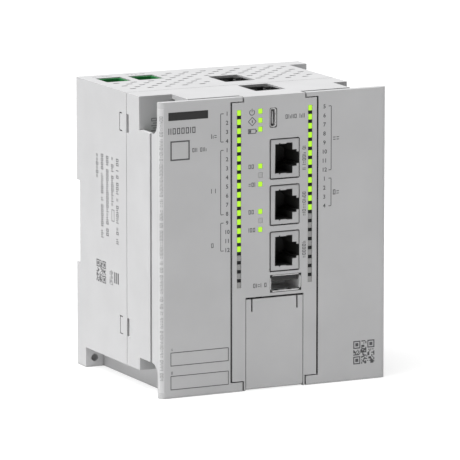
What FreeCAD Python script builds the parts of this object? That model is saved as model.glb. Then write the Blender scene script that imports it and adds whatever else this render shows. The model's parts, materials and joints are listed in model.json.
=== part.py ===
import FreeCAD, Part

import os
import re

# A DIN-rail programmable controller. Lengths are in millimetres. Every place is written as a distance
# from the case's left side (x), front face (y) and underside (z); block() and rod() move it to the
# model frame, whose origin is the middle of the underside, with +Z up and the front facing -Y.

SIZES = {
    # case
    "case_width": 105.0,
    "case_height": 124.0,
    "case_depth": 83.0,
    "wall": 2.0,
    "seam": 33.0,
    "seam_groove_width": 0.3,
    "seam_groove_depth": 0.4,
    # stepped edges that lead to the wall screws
    "edge_notch_width": 8.42,
    "edge_notch_height": 8.65,
    "screw_tab_front": 74.4,
    "screw_hole_radius": 1.6,
    "screw_hole_x": 4.1,
    "screw_hole_z": 3.95,
    # terminal bays
    "bay_floor": 20.35,
    "side_wall_front": 10.1,
    "bay_plate_front": 5.0,
    "wire_notch_width": 15.0,
    "wire_notch_height": 14.0,
    "strap_slot_width": 2.9,
    "strap_slot_low": 116.0,
    "header_opening_left": 17.5,
    "header_opening_right": 29.5,
    "header_gap": 0.25,
    # snap fingers between the shells
    "snap_window_front": 30.6,
    "snap_finger": 1.2,
    "snap_finger_inset": 2.4,
    "snap_finger_front": 29.6,
    "snap_finger_rear": 37.0,
    "snap_barb_front": 31.0,
    "snap_barb_rear": 32.4,
    "snap_slit_front": 37.1,
    "snap_slit_rear": 39.75,
    "snap_slit_width": 0.45,
    # doors
    "door_width": 32.1,
    "door_gap": 0.8,
    "door_plate": 2.2,
    "door_rim": 3.0,
    "door_corner_radius": 2.5,
    "flange_depth": 8.36,
    "flange_arc_radius": 5.2,
    "catch_left": 2.4,
    "catch_right": 3.4,
    "catch_reach": 10.9,
    "catch_low": 56.0,
    "catch_high": 68.0,
    # door hinges
    "hinge_x": 35.5,
    "hinge_y": 1.5,
    "tab_reach": 2.2,
    "tab_top_height": 1.8,
    "tab_bottom_height": 3.95,
    "pocket_width": 5.45,
    "pocket_depth": 5.0,
    "boss_width": 6.6,
    "boss_depth": 6.4,
    "boss_top_height": 4.4,
    "boss_bottom_height": 8.2,
    "pin_radius": 0.6,
    "pin_end": 0.8,
    "pin_seat": 2.2,
    "boss_skin": 0.8,
    "running_gap": 0.05,
    "fit_gap": 0.2,
    # service bay and its cover
    "service_left": 39.05,
    "service_wall": 1.6,
    "service_ledge": 1.25,
    "service_ceiling": 39.5,
    "service_roof": 1.1,
    "service_floor": 14.4,
    "cover_gap": 0.25,
    "cover_plate": 2.0,
    "cover_top": 38.75,
    "cover_axis_y": 1.7,
    "cover_axis_z": 1.8,
    "knuckle_radius": 1.6,
    "slit_x": 42.0,
    "slit_width": 0.65,
    "slit_length": 5.35,
    "knuckle_clearance": 0.95,
    "pin_overrun": 0.8,
    "cover_catch_left": 50.0,
    "cover_catch_right": 55.0,
    "cover_catch_reach": 1.4,
    "cover_catch_drop": 0.3,
    "cover_catch_height": 1.6,
    # indicators
    "led_left": 35.1,
    "led_right": 36.95,
    "led_first": 117.5,
    "led_pitch": 3.81,
    "led_height": 2.3,
    "led_clearance": 0.05,
    "baffle_spine_right": 38.6,
    "baffle_depth": 8.0,
    "baffle_margin": 0.5,
    "guide_finger_end": 20.0,
    "guide_end": 22.6,
    "status_left": 44.9,
    "status_right": 46.8,
    "status_height": 2.1,
    "status_finger_end": 8.0,
    "status_guide_end": 10.0,
    "chip_half": 0.9,
    "chip_height": 1.1,
    "status_chip_depth": 1.6,
    # boards
    "board_thickness": 1.6,
    "cpu_left": 48.4,
    "cpu_front": 3.0,
    "cpu_rear": 73.0,
    "cpu_low": 3.0,
    "cpu_high": 121.0,
    "cpu_step_y": 17.0,
    "cpu_step_z": 41.2,
    "io_left": 3.0,
    "io_right": 39.0,
    "io_front": 24.0,
    "io_low": 11.0,
    "io_high": 113.0,
    "power_front": 75.2,
    "power_low": 12.0,
    "power_high": 112.0,
    # parts on the boards
    "connector_height": 5.4,
    "connector_left": 37.0,
    "connector_right": 68.0,
    "connector_low": 60.0,
    "connector_high": 90.0,
    "power_connector_right": 56.0,
    "power_connector_front": 66.0,
    "power_connector_low": 20.0,
    "power_connector_high": 50.0,
    "package_height": 1.6,
    "core_left": 68.0,
    "core_right": 92.0,
    "core_low": 76.0,
    "core_high": 100.0,
    "core_front": 57.0,
    "core_limb": 4.0,
    "winding_out": 2.0,
    "winding_inset": 1.5,
    "capacitor_radius": 6.25,
    "capacitor_front": 53.0,
    # network jacks
    "jack_left": 50.9,
    "jack_right": 63.9,
    "jack_recess": 0.25,
    "top_jack_recess": 1.6,
    "jack_half": 8.1,
    "jack_opening_half": 8.6,
    "jack_opening_left": 50.15,
    "jack_opening_right": 64.2,
    "jack_opening_radius": 0.8,
    "jack_depth": 19.0,
    "top_jack_depth": 16.5,
    "cavity_depth": 14.0,
    "cavity_left": 52.8,
    "cavity_right": 60.9,
    "cavity_half": 6.15,
    "cavity_step_right": 62.85,
    "cavity_step_half": 3.5,
    "latch_slot_right": 64.0,
    "latch_slot_half": 2.5,
    "contact_pitch": 1.02,
    "contact_width": 0.5,
    "contact_inset": 1.5,
    "jack_foot_inset": 0.5,
    "key_left": 54.6,
    "key_right": 55.3,
    "key_depth": 0.4,
    "shoulder_width": 2.8,
    "shoulder_depth": 0.3,
    # universal serial bus sockets
    "micro_left": 50.3,
    "micro_right": 53.4,
    "micro_low": 110.5,
    "micro_high": 118.45,
    "micro_radius": 1.1,
    "micro_inner_radius": 0.75,
    "micro_front": 0.3,
    "micro_rear": 6.0,
    "micro_tongue_half": 0.3,
    "micro_tongue_front": 0.8,
    "micro_tongue_margin": 1.4,
    "host_left": 50.6,
    "host_right": 64.8,
    "host_low": 41.0,
    "host_high": 48.0,
    "host_depth": 14.0,
    "host_front": 0.2,
    "host_radius": 1.1,
    "host_inner_radius": 0.75,
    "spring_window_offset": 2.9,
    "spring_window_half": 1.1,
    "spring_window_front": 1.1,
    "spring_window_rear": 5.2,
    "host_foot_front": 4.0,
    "host_tongue_margin": 1.3,
    "host_tongue_front": 1.4,
    "host_tongue_low": 45.9,
    "host_tongue_high": 47.3,
    "socket_sheet": 0.35,
    "socket_gap": 0.2,
    # terminals
    "terminal_pitch": 3.81,
    "terminal_low": 15.25,
    "terminal_length": 46.6,
    "terminal_step": 46.9,
    "header_left": 17.8,
    "header_right": 29.2,
    "header_front": 16.5,
    "plug_left": 16.6,
    "plug_right": 30.4,
    "plug_front": 5.0,
    "plug_rear": 16.45,
    "screw_radius": 1.2,
    "screw_x": 25.6,
    "screw_sink": 1.6,
    "screw_slot_depth": 0.6,
    "screw_slot_half": 0.25,
    "driver_hole_depth": 4.0,
    "wire_entry_depth": 5.6,
    "wire_entry_front": 9.6,
    "wire_entry_rear": 13.2,
    "wire_entry_half": 1.35,
    "clamp_inset": 4.2,
    "clamp_half": 1.2,
    # green sockets on top
    "green_front": 62.7,
    "green_rear": 74.3,
    "green_low": 111.0,
    "green_high": 123.6,
    "green_width": 11.1,
    "green_wall": 0.8,
    "green_floor": 3.0,
    "green_tail_inset": 1.0,
    "green_tail_high": 117.0,
    "green_pin_y": 68.5,
    "green_pin_half": 0.5,
    "green_pin_top": 121.5,
    # battery, memory card and switches behind the cover
    "cell_x": 52.5,
    "cell_z": 14.2,
    "cell_radius": 10.0,
    "well_radius": 10.3,
    "tray_radius": 11.5,
    "cell_front": 4.2,
    "cell_back": 1.0,
    "finger_notch_half": 3.0,
    "finger_notch_low": 23.0,
    "finger_notch_high": 25.9,
    "clip_sheet": 0.5,
    "clip_half": 1.5,
    "clip_right": 64.55,
    "card_left": 51.2,
    "card_right": 52.2,
    "card_low": 27.0,
    "card_high": 38.0,
    "card_front": 11.5,
    "card_rear": 26.5,
    "card_corner": 1.9,
    "card_gap": 0.4,
    "card_play": 0.3,
    "sleeve_wall": 1.2,
    "sleeve_front": 16.4,
    "sleeve_rear": 31.0,
    "switch_left": 42.0,
    "switch_right": 46.4,
    "switch_low": 27.6,
    "switch_high": 37.4,
    "switch_depth": 3.0,
    "switch_wall": 1.2,
    "switch_floor": 1.0,
    "lever_low": 33.2,
    "nib_low": 33.8,
    "nib_high": 35.4,
    "nib_reach": 5.2,
    "reset_x": 60.0,
    "reset_z": 32.5,
    "reset_half": 3.0,
    "reset_bore_radius": 1.85,
    "reset_floor": 0.8,
    "reset_button_front": 4.4,
    "reset_button_rear": 1.5,
    # DIN rail
    "recess_floor": 79.9,
    "recess_low": 44.65,
    "recess_high": 80.0,
    "rail_hook_front": 81.2,
    "rail_hook_height": 1.4,
    "latch_x": 27.0,
    "latch_half": 7.0,
    "latch_nose_half": 5.5,
    "latch_front": 80.1,
    "latch_step_y": 81.8,
    "latch_rear": 82.8,
    "latch_low": 0.5,
    "latch_high": 44.3,
    "latch_lip_high": 46.2,
    "latch_gap": 0.3,
    "latch_lip_root": 1.0,
    "latch_pry_half": 2.0,
    "latch_pry_low": 2.5,
    "latch_pry_high": 4.7,
    "spring_half": 1.6,
    "spring_seat_low": 17.0,
    "spring_low": 19.0,
    "spring_high": 36.0,
    "spring_strand": 0.6,
    "spring_width": 1.0,
    # vents
    "vent_length": 2.8,
    "vent_width": 1.3,
    "vent_first_x": 7.2,
    "vent_first_y": 41.5,
    "vent_pitch_x": 4.03,
    "vent_pitch_y": 4.15,
}

DOOR_EDGE = "(door_width + door_gap)"
CPU_RIGHT = "(cpu_left + board_thickness)"
IO_REAR = "(io_front + board_thickness)"
SERVICE_RIGHT = "(case_width - service_left)"
WHOLE_WIDTH = (0, "case_width")
WHOLE_HEIGHT = (0, "case_height")
BOTH_SIDES = ("left", "right")
LED_COUNT = 20
POLES = 12
CONTACTS = 8
VENT_ROWS = 9
VENT_COLUMNS = 22
JACK_CENTRES = (97.0, 77.5, 58.0)
TOP_JACK_CENTRES = {"top_jack_front": 21.55, "top_jack_rear": 50.2}
JACK_RECESSES = {"front": "jack_recess", "top": "top_jack_recess"}
STATUS_CENTRES = (117.6, 113.8, 110.05, 94.6, 90.8, 87.0, 75.5, 71.7, 67.9)
GREEN_LEFTS = {"power_socket": 5.2, "bus_socket": 20.2}
SNAP_WINDOWS = ((20.9, 28.7), (107.1, 115.0))
SPRING_FOLDS = 8
TOLERANCE = 0.01

# Each chip's side of the processor board, its span from front to rear and its span upwards.
CHIPS = {
    "main": ("right", (36.0, 56.0), (62.0, 82.0)),
    "memory": ("right", (36.0, 48.0), (90.0, 100.0)),
    "network": ("right", (34.0, 46.0), (24.0, 36.0)),
    "flash": ("left", (40.0, 52.0), (44.0, 52.0)),
    "logic": ("left", (40.0, 54.0), (92.0, 106.0)),
}
# Where each capacitor stands on the power board: from the left side, and up.
CAPACITORS = ((72.0, 28.0), (87.0, 28.0), (87.0, 46.0))

doc = FreeCAD.newDocument("controller")
sheet = doc.addObject("Spreadsheet::Sheet", "sizes")
for row, (alias, size) in enumerate(SIZES.items(), start=1):
    sheet.set(f"A{row}", alias)
    sheet.set(f"B{row}", str(size))
    sheet.setAlias(f"B{row}", alias)
doc.recompute()


# ---------------------------------------------------------------- building helpers

def bound(text):
    """The expression with every size name pointed at its cell."""
    return re.sub(r"[a-z][a-z_]+", lambda word: f"sizes.{word.group(0)}", str(text))


def mirrored(span, side):
    """A left-right span, seen from the left side or mirrored to the right."""
    if side == "left":
        return span
    return (f"case_width - ({span[1]})", f"case_width - ({span[0]})")


def place(feature, corner):
    """Bind a feature's base point, given from the case's left, front and underside."""
    feature.setExpression("Placement.Base.x", bound(f"({corner[0]}) - case_width / 2"))
    feature.setExpression("Placement.Base.y", bound(f"({corner[1]}) - case_depth / 2"))
    feature.setExpression("Placement.Base.z", bound(f"{corner[2]}"))


def block(name, x, y, z, side="left"):
    """A box that fills three spans."""
    x = mirrored(x, side)
    box = doc.addObject("Part::Box", name)
    for edge, span in (("Length", x), ("Width", y), ("Height", z)):
        box.setExpression(edge, bound(f"({span[1]}) - ({span[0]})"))
    place(box, (x[0], y[0], z[0]))
    return box


TURNS = {
    "x": FreeCAD.Rotation(FreeCAD.Vector(0, 1, 0), 90),
    "y": FreeCAD.Rotation(FreeCAD.Vector(1, 0, 0), -90),
    "z": FreeCAD.Rotation(),
}


def rod(name, along, centre, radius, span, side="left"):
    """A cylinder along one axis; centre holds its two other coordinates in x, y, z order."""
    corner = list(centre)
    corner.insert("xyz".index(along), span[0])
    if side == "right":
        corner[0] = f"case_width - ({span[1] if along == 'x' else corner[0]})"
    cylinder = doc.addObject("Part::Cylinder", name)
    cylinder.Placement = FreeCAD.Placement(FreeCAD.Vector(), TURNS[along])
    cylinder.setExpression("Radius", bound(radius))
    cylinder.setExpression("Height", bound(f"({span[1]}) - ({span[0]})"))
    place(cylinder, corner)
    return cylinder


def join(name, pieces):
    """One solid from pieces that overlap or touch."""
    if len(pieces) == 1:
        return pieces[0]
    fusion = doc.addObject("Part::MultiFuse", name)
    fusion.Shapes = pieces
    fusion.Refine = True
    return fusion


def cut(name, base, tools):
    """The base with every tool taken away."""
    result = doc.addObject("Part::Cut", name)
    result.Base = base
    result.Tool = join(f"{name}_tools", tools)
    result.Refine = True
    return result


def group(name, pieces):
    """Separate solids kept in one node."""
    compound = doc.addObject("Part::Compound", name)
    compound.Links = pieces
    return compound


def rounded(name, solid, along, radius, wanted=lambda point: True):
    """Round the straight edges that run along one axis and pass the wanted test."""
    doc.recompute()
    axis = FreeCAD.Vector(*(1 if letter == along else 0 for letter in "xyz"))
    size = SIZES[radius]
    edges = []
    for number, edge in enumerate(solid.Shape.Edges, start=1):
        run = edge.Vertexes[-1].Point - edge.Vertexes[0].Point
        if abs(run.dot(axis)) > 0.99 * run.Length > 0 and wanted(edge.CenterOfMass):
            edges.append((number, size, size))
    fillet = doc.addObject("Part::Fillet", name)
    fillet.Base = solid
    fillet.Edges = edges
    return fillet


# ---------------------------------------------------------------- casing

def edge_notches(name, y, grow="0"):
    """The two long stepped edges: bottom left and top right."""
    return [
        block(f"{name}_low", (0, f"edge_notch_width + {grow}"), y, (0, f"edge_notch_height + {grow}")),
        block(
            f"{name}_high",
            (f"case_width - edge_notch_width - {grow}", "case_width"),
            y,
            (f"case_height - edge_notch_height - {grow}", "case_height"),
        ),
    ]


def service_span(grow):
    return (f"service_left - {grow}", f"{SERVICE_RIGHT} + {grow}")


def jack_box(name, x, deep, across, facing, centre):
    """A box in a jack, given by its depth behind the jack's mouth and its span across the centre."""
    across = tuple(f"{centre} + ({edge})" for edge in across)
    if facing == "front":
        return block(name, x, deep, across)
    return block(name, x, across, (f"case_height - ({deep[1]})", f"case_height - ({deep[0]})"))


def jack_opening(name, facing, centre):
    mouth = jack_box(
        f"{name}_mouth",
        ("jack_opening_left", "jack_opening_right"),
        (0, "wall"),
        ("-jack_opening_half", "jack_opening_half"),
        facing,
        centre,
    )
    return rounded(f"{name}_opening", mouth, "y" if facing == "front" else "z", "jack_opening_radius")


def hinge_bosses(side):
    boss = (DOOR_EDGE, f"{DOOR_EDGE} + boss_width")
    depth = (0, "boss_depth")
    return [
        block(f"boss_top_{side}", boss, depth, ("case_height - boss_top_height", "case_height"), side),
        block(f"boss_bottom_{side}", boss, depth, (0, "boss_bottom_height"), side),
    ]


def hinge_cuts(side):
    """Pockets that let the door tabs turn, and the blind holes of their pins."""
    pocket = (DOOR_EDGE, f"{DOOR_EDGE} + pocket_width")
    depth = (0, "pocket_depth")
    tab_top = "case_height - tab_top_height"
    hole = "pin_radius + running_gap"
    centre = ("hinge_x", "hinge_y")
    return [
        block(f"pocket_top_{side}", pocket, depth, (f"{tab_top} - door_gap / 2", "case_height"), side),
        block(f"pocket_bottom_{side}", pocket, depth, (0, "tab_bottom_height + door_gap / 2"), side),
        rod(f"pin_hole_top_{side}", "z", centre, hole, (f"{tab_top} - pin_seat", tab_top), side),
        rod(
            f"pin_hole_bottom_{side}",
            "z",
            centre,
            hole,
            ("tab_bottom_height", "boss_bottom_height - boss_skin"),
            side,
        ),
    ]


def bay_walls(side):
    """The outer wall, end plates and wire-notch walls of one terminal bay."""
    ends = {"top": ("case_height - wall", "case_height"), "bottom": (0, "wall")}
    notches = {
        "top": ("case_height - wire_notch_height", "case_height"),
        "bottom": (0, "wire_notch_height"),
    }
    walls = [
        block(
            f"bay_side_{side}",
            (0, "wall"),
            ("side_wall_front", "seam"),
            ("wire_notch_height", "case_height - wire_notch_height"),
            side,
        )
    ]
    depth = ("bay_plate_front", "bay_floor")
    for end in ("top", "bottom"):
        walls.append(
            block(f"bay_plate_{end}_{side}", ("wire_notch_width", DOOR_EDGE), depth, ends[end], side)
        )
        walls.append(
            block(
                f"bay_rib_{end}_{side}",
                ("wire_notch_width", "wire_notch_width + wall / 2"),
                depth,
                notches[end],
                side,
            )
        )
    return walls


def bay_cuts(side):
    """The terminal-header opening and the strap slots of one bay."""
    slot = ("wire_notch_width", "wire_notch_width + wall / 2")
    depth = ("bay_floor - strap_slot_width", "bay_floor")
    return [
        block(
            f"header_opening_{side}",
            ("header_opening_left", "header_opening_right"),
            ("bay_floor", "bay_floor + wall"),
            ("terminal_low - header_gap", "terminal_low + terminal_step + terminal_length + header_gap"),
            side,
        ),
        block(f"strap_slot_top_{side}", slot, depth, ("strap_slot_low", "case_height - wall"), side),
        block(f"strap_slot_bottom_{side}", slot, depth, ("wall", "case_height - strap_slot_low"), side),
    ]


def snap_windows(side):
    return [
        block(f"snap_window_{side}_{number}", (0, "wall"), ("snap_window_front", "seam"), z, side)
        for number, z in enumerate(SNAP_WINDOWS)
    ]


def led_slot(side):
    low = f"led_first - {LED_COUNT - 1} * led_pitch - led_height / 2 - led_clearance"
    high = "led_first + led_height / 2 + led_clearance"
    return block(
        f"led_slot_{side}",
        ("led_left - led_clearance", "led_right + led_clearance"),
        (0, "wall"),
        (low, high),
        side,
    )


def status_windows():
    half = "status_height / 2 + led_clearance"
    return [
        block(
            f"status_window_{number}",
            ("status_left - led_clearance", "status_right + led_clearance"),
            (0, "wall"),
            (f"{centre} - ({half})", f"{centre} + ({half})"),
        )
        for number, centre in enumerate(STATUS_CENTRES)
    ]


def service_bay_cuts():
    """The cover's seat, the bay behind it, and the card's and hinge pin's openings."""
    knuckle_room = (0, "knuckle_radius * 2 + knuckle_clearance")
    return [
        block("cover_seat", service_span("0"), (0, "cover_plate + fit_gap"), (0, "service_ceiling")),
        block("knuckle_room", service_span("0"), knuckle_room, knuckle_room),
        block(
            "service_room",
            service_span("-service_ledge"),
            ("cover_plate", "service_floor"),
            ("wall", "service_ceiling"),
        ),
        block(
            "card_opening",
            ("card_left - card_gap", "card_right + card_gap"),
            ("service_floor", "service_floor + service_wall"),
            ("card_low - card_gap", "card_high + card_gap"),
        ),
        rod(
            "cover_pin_hole",
            "x",
            ("cover_axis_y", "cover_axis_z"),
            "pin_radius + running_gap",
            service_span("pin_overrun"),
        ),
    ]


def seam_groove():
    """A fine groove round the joint between the two shells."""
    span = ("seam - seam_groove_width", "seam")
    keep_x = ("seam_groove_depth", "case_width - seam_groove_depth")
    keep_z = ("seam_groove_depth", "case_height - seam_groove_depth")
    outside = block("groove_outside", WHOLE_WIDTH, span, WHOLE_HEIGHT)
    inside = block("groove_inside", keep_x, span, keep_z)
    return cut("seam_groove", outside, [inside])


def front_hollow():
    """The space inside the front shell, less the walls, bosses and service bay that cross it."""
    inner_z = ("wall", "case_height - wall")
    base = block(
        "front_base_hollow", ("wall", "case_width - wall"), ("bay_floor + wall", "seam"), inner_z
    )
    centre = block(
        "centre_hollow",
        (f"{DOOR_EDGE} + wall", f"case_width - {DOOR_EDGE} - wall"),
        ("wall", "bay_floor + wall"),
        inner_z,
    )
    service_walls = block(
        "service_walls",
        service_span("service_wall"),
        (0, "service_floor + service_wall"),
        (0, "service_ceiling + service_roof"),
    )
    kept = edge_notches("front_notch_wall", (0, "seam"), "wall") + [service_walls]
    for side in BOTH_SIDES:
        kept += hinge_bosses(side)
    return cut("front_hollow", join("front_hollow_whole", [base, centre]), kept)


def front_case():
    shell = [
        block("front_base", WHOLE_WIDTH, ("bay_floor", "seam"), WHOLE_HEIGHT),
        block(
            "centre_block",
            (DOOR_EDGE, f"case_width - {DOOR_EDGE}"),
            (0, "bay_floor + wall"),
            WHOLE_HEIGHT,
        ),
    ]
    tools = [front_hollow(), seam_groove()]
    tools += edge_notches("front_notch", (0, "seam"))
    for side in BOTH_SIDES:
        shell += bay_walls(side)
        tools += hinge_cuts(side) + bay_cuts(side) + snap_windows(side)
        tools.append(led_slot(side))
    for number, centre in enumerate(JACK_CENTRES):
        tools.append(jack_opening(f"front_jack_{number}", "front", centre))
    tools.append(jack_opening("front_top_jack", "top", TOP_JACK_CENTRES["top_jack_front"]))
    tools += status_windows() + service_bay_cuts()
    micro_mouth = block(
        "micro_mouth",
        ("micro_left - socket_gap", "micro_right + socket_gap"),
        (0, "wall"),
        ("micro_low - socket_gap", "micro_high + socket_gap"),
    )
    tools.append(rounded("micro_opening", micro_mouth, "y", "jack_opening_radius"))
    tools.append(
        block(
            "host_opening",
            ("host_left - socket_gap", "host_right + socket_gap"),
            (0, "wall"),
            ("host_low - socket_gap", "host_high + socket_gap"),
        )
    )
    return cut("front_case", join("front_shell", shell), tools)


def rear_hollow():
    room = block(
        "rear_room",
        ("wall", "case_width - wall"),
        ("seam", "recess_floor - wall"),
        ("wall", "case_height - wall"),
    )
    return cut("rear_hollow", room, edge_notches("rear_notch_wall", ("seam", "case_depth"), "wall"))


def rail_recess():
    """The slot for a 35 mm rail, with a fixed hook over each latch."""
    depth = ("recess_floor", "case_depth")
    slot = block("rail_slot", WHOLE_WIDTH, depth, ("recess_low", "recess_high"))
    hooks = [
        block(
            f"rail_hook_{side}",
            ("latch_x - latch_half", "latch_x + latch_half"),
            ("rail_hook_front", "case_depth"),
            ("recess_high - rail_hook_height", "recess_high"),
            side,
        )
        for side in BOTH_SIDES
    ]
    return cut("rail_recess", slot, hooks)


def latch_channel(side):
    """A stepped channel that keeps the latch in, round the post its spring bears on."""
    wide = block(
        f"channel_wide_{side}",
        ("latch_x - latch_half - latch_gap", "latch_x + latch_half + latch_gap"),
        ("recess_floor", "latch_step_y + fit_gap"),
        (0, "recess_low"),
        side,
    )
    narrow = block(
        f"channel_narrow_{side}",
        ("latch_x - latch_nose_half - latch_gap", "latch_x + latch_nose_half + latch_gap"),
        ("latch_step_y + fit_gap", "case_depth"),
        (0, "recess_low"),
        side,
    )
    post = block(
        f"spring_post_{side}",
        ("latch_x - spring_half", "latch_x + spring_half"),
        ("recess_floor", "latch_step_y - fit_gap"),
        ("spring_seat_low", "spring_low"),
        side,
    )
    return cut(f"latch_channel_{side}", join(f"channel_{side}", [wide, narrow]), [post])


def vent_is_free(x, y):
    """Whether a vent at this place on the top misses every socket."""
    margin = SIZES["vent_length"]
    over_jack = SIZES["jack_opening_left"] - margin < x < SIZES["jack_opening_right"] + margin
    beside_jack = abs(y - TOP_JACK_CENTRES["top_jack_rear"]) < SIZES["jack_opening_half"] + margin / 2
    over_green = x < GREEN_LEFTS["bus_socket"] + SIZES["green_width"] + margin
    beside_green = y > SIZES["green_front"] - margin
    return not (over_jack and beside_jack) and not (over_green and beside_green)


def vents(face):
    """Staggered rows of short slots through the top or the underside."""
    z = ("case_height - wall", "case_height") if face == "top" else (0, "wall")
    edge = SIZES["edge_notch_width"] + SIZES["wall"] + SIZES["vent_length"] / 2
    slots = []
    for row in range(VENT_ROWS):
        y = SIZES["vent_first_y"] + row * SIZES["vent_pitch_y"]
        for column in range(row % 2, VENT_COLUMNS, 2):
            x = SIZES["vent_first_x"] + column * SIZES["vent_pitch_x"]
            if (face == "top" and not vent_is_free(x, y)) or (face == "bottom" and x < edge):
                continue
            centre_x = f"vent_first_x + {column} * vent_pitch_x"
            centre_y = f"vent_first_y + {row} * vent_pitch_y"
            slots.append(
                block(
                    f"vent_{face}_{row}_{column}",
                    (f"{centre_x} - vent_length / 2", f"{centre_x} + vent_length / 2"),
                    (f"{centre_y} - vent_width / 2", f"{centre_y} + vent_width / 2"),
                    z,
                )
            )
    return slots


def snap_slits(side):
    """The bracket-shaped slits that free each snap finger."""
    back = ("snap_slit_rear - snap_slit_width", "snap_slit_rear")
    arm = ("snap_slit_front", "snap_slit_rear")
    slits = []
    for number, (low, high) in enumerate(SNAP_WINDOWS):
        for mark, y, z in (
            ("back", back, (low, high)),
            ("low", arm, (low, f"{low} + snap_slit_width")),
            ("high", arm, (f"{high} - snap_slit_width", high)),
        ):
            slits.append(block(f"slit_{mark}_{side}_{number}", (0, "wall / 2"), y, z, side))
    return slits


def snap_hooks(side):
    """Fingers of the rear shell that reach into the front shell's windows."""
    finger = ("snap_finger_front", "snap_finger_rear")
    barb = ("snap_barb_front", "snap_barb_rear")
    hooks = []
    for number, (low, high) in enumerate(SNAP_WINDOWS):
        z = (f"{low} + snap_finger_inset", f"{high} - snap_finger_inset")
        mark = f"{side}_{number}"
        hooks.append(block(f"snap_finger_{mark}", ("wall", "wall + snap_finger"), finger, z, side))
        hooks.append(block(f"snap_barb_{mark}", ("wall / 2", "wall"), barb, z, side))
    return hooks


def rear_case():
    shell = [block("rear_block", WHOLE_WIDTH, ("seam", "case_depth"), WHOLE_HEIGHT)]
    tools = [rear_hollow(), rail_recess()]
    tools += edge_notches("rear_notch", ("seam", "screw_tab_front"))
    tab = ("screw_tab_front", "case_depth")
    for mark, centre in (
        ("low", ("screw_hole_x", "screw_hole_z")),
        ("high", ("case_width - screw_hole_x", "case_height - screw_hole_z")),
    ):
        tools.append(rod(f"screw_hole_{mark}", "y", centre, "screw_hole_radius", tab))
    for side in BOTH_SIDES:
        tools.append(latch_channel(side))
        tools += snap_slits(side)
    tools.append(jack_opening("rear_top_jack", "top", TOP_JACK_CENTRES["top_jack_rear"]))
    for name, left in GREEN_LEFTS.items():
        tools.append(
            block(
                f"{name}_opening",
                (f"{left} - socket_gap", f"{left} + green_width + socket_gap"),
                ("green_front - socket_gap", "green_rear + socket_gap"),
                ("case_height - wall", "case_height"),
            )
        )
    tools += vents("top") + vents("bottom")
    hollow_shell = cut("rear_shell", shell[0], tools)
    hooks = snap_hooks("left") + snap_hooks("right")
    return join("rear_case", [hollow_shell] + hooks)


# ---------------------------------------------------------------- doors and cover

def door(side):
    """A terminal cover: a plate with a rim, a deep outer flange and two hinge tabs."""
    plate_x = (0, "door_width")
    rim = (0, "door_rim")
    tab_top = ("case_height - tab_top_height", "case_height")
    tab_bottom = (0, "tab_bottom_height")
    tab_x = ("door_width - wall / 2", "hinge_x + tab_reach")
    arc_low = "wire_notch_height - flange_arc_radius"
    arc_high = "case_height - wire_notch_height + flange_arc_radius"
    flange = block(f"door_flange_{side}", (0, "wall"), (0, "flange_depth"), (arc_low, arc_high), side)
    arc_centre = "door_rim + flange_arc_radius"
    arcs = [
        rod(f"door_arc_{end}_{side}", "x", (arc_centre, z), "flange_arc_radius", (0, "wall"), side)
        for end, z in (("low", arc_low), ("high", arc_high))
    ]
    body = join(
        f"door_body_{side}",
        [
            block(f"door_plate_{side}", plate_x, (0, "door_plate"), WHOLE_HEIGHT, side),
            block(f"door_top_rim_{side}", plate_x, rim, tab_top, side),
            block(f"door_bottom_rim_{side}", plate_x, rim, (0, "tab_top_height"), side),
            block(f"door_outer_rim_{side}", (0, "wall"), rim, WHOLE_HEIGHT, side),
            cut(f"door_flange_arcs_{side}", flange, arcs),
            block(f"door_tab_top_{side}", tab_x, rim, tab_top, side),
            block(f"door_tab_bottom_{side}", tab_x, rim, tab_bottom, side),
            block(
                f"door_catch_{side}",
                ("catch_left", "catch_right"),
                (0, "catch_reach"),
                ("catch_low", "catch_high"),
                side,
            ),
        ],
    )
    sign = -1 if side == "left" else 1
    outer_x = sign * SIZES["case_width"] / 2
    outer_y = -SIZES["case_depth"] / 2

    def is_outer_corner(point):
        return abs(point.x - outer_x) < TOLERANCE and abs(point.y - outer_y) < TOLERANCE

    smooth = rounded(f"door_smooth_{side}", body, "z", "door_corner_radius", is_outer_corner)
    centre = ("hinge_x", "hinge_y")
    bore = "pin_radius + running_gap"
    bores = [
        rod(
            f"door_bore_top_{side}",
            "z",
            centre,
            bore,
            ("case_height - tab_top_height", "case_height - pin_end / 2"),
            side,
        ),
        rod(f"door_bore_bottom_{side}", "z", centre, bore, ("pin_end / 2", "tab_bottom_height"), side),
    ]
    return cut(f"{side}_door", smooth, bores)


def door_hinge_pins():
    pins = []
    for side in BOTH_SIDES:
        centre = ("hinge_x", "hinge_y")
        top = ("case_height - tab_top_height - pin_seat", "case_height - pin_end")
        bottom = ("pin_end", "boss_bottom_height - boss_skin")
        pins.append(rod(f"hinge_pin_top_{side}", "z", centre, "pin_radius", top, side))
        pins.append(rod(f"hinge_pin_bottom_{side}", "z", centre, "pin_radius", bottom, side))
    return group("door_hinge_pins", pins)


def service_cover():
    """A flap on a knuckle along its lower edge, with a springy tongue between two slits."""
    span = service_span("-cover_gap")
    axis = ("cover_axis_y", "cover_axis_z")
    flap = join(
        "cover_body",
        [
            block("cover_flap", span, (0, "cover_plate"), ("cover_axis_z", "cover_top")),
            rod("cover_knuckle", "x", axis, "knuckle_radius", span),
            block(
                "cover_catch",
                ("cover_catch_left", "cover_catch_right"),
                (0, "cover_plate + cover_catch_reach"),
                ("cover_top - cover_catch_drop - cover_catch_height", "cover_top - cover_catch_drop"),
            ),
        ],
    )
    tools = [rod("cover_bore", "x", axis, "pin_radius + running_gap", span)]
    for side in BOTH_SIDES:
        tools.append(
            block(
                f"cover_slit_{side}",
                ("slit_x - slit_width / 2", "slit_x + slit_width / 2"),
                (0, "cover_plate"),
                ("cover_top - slit_length", "cover_top"),
                side,
            )
        )
    return cut("service_cover", flap, tools)


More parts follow.
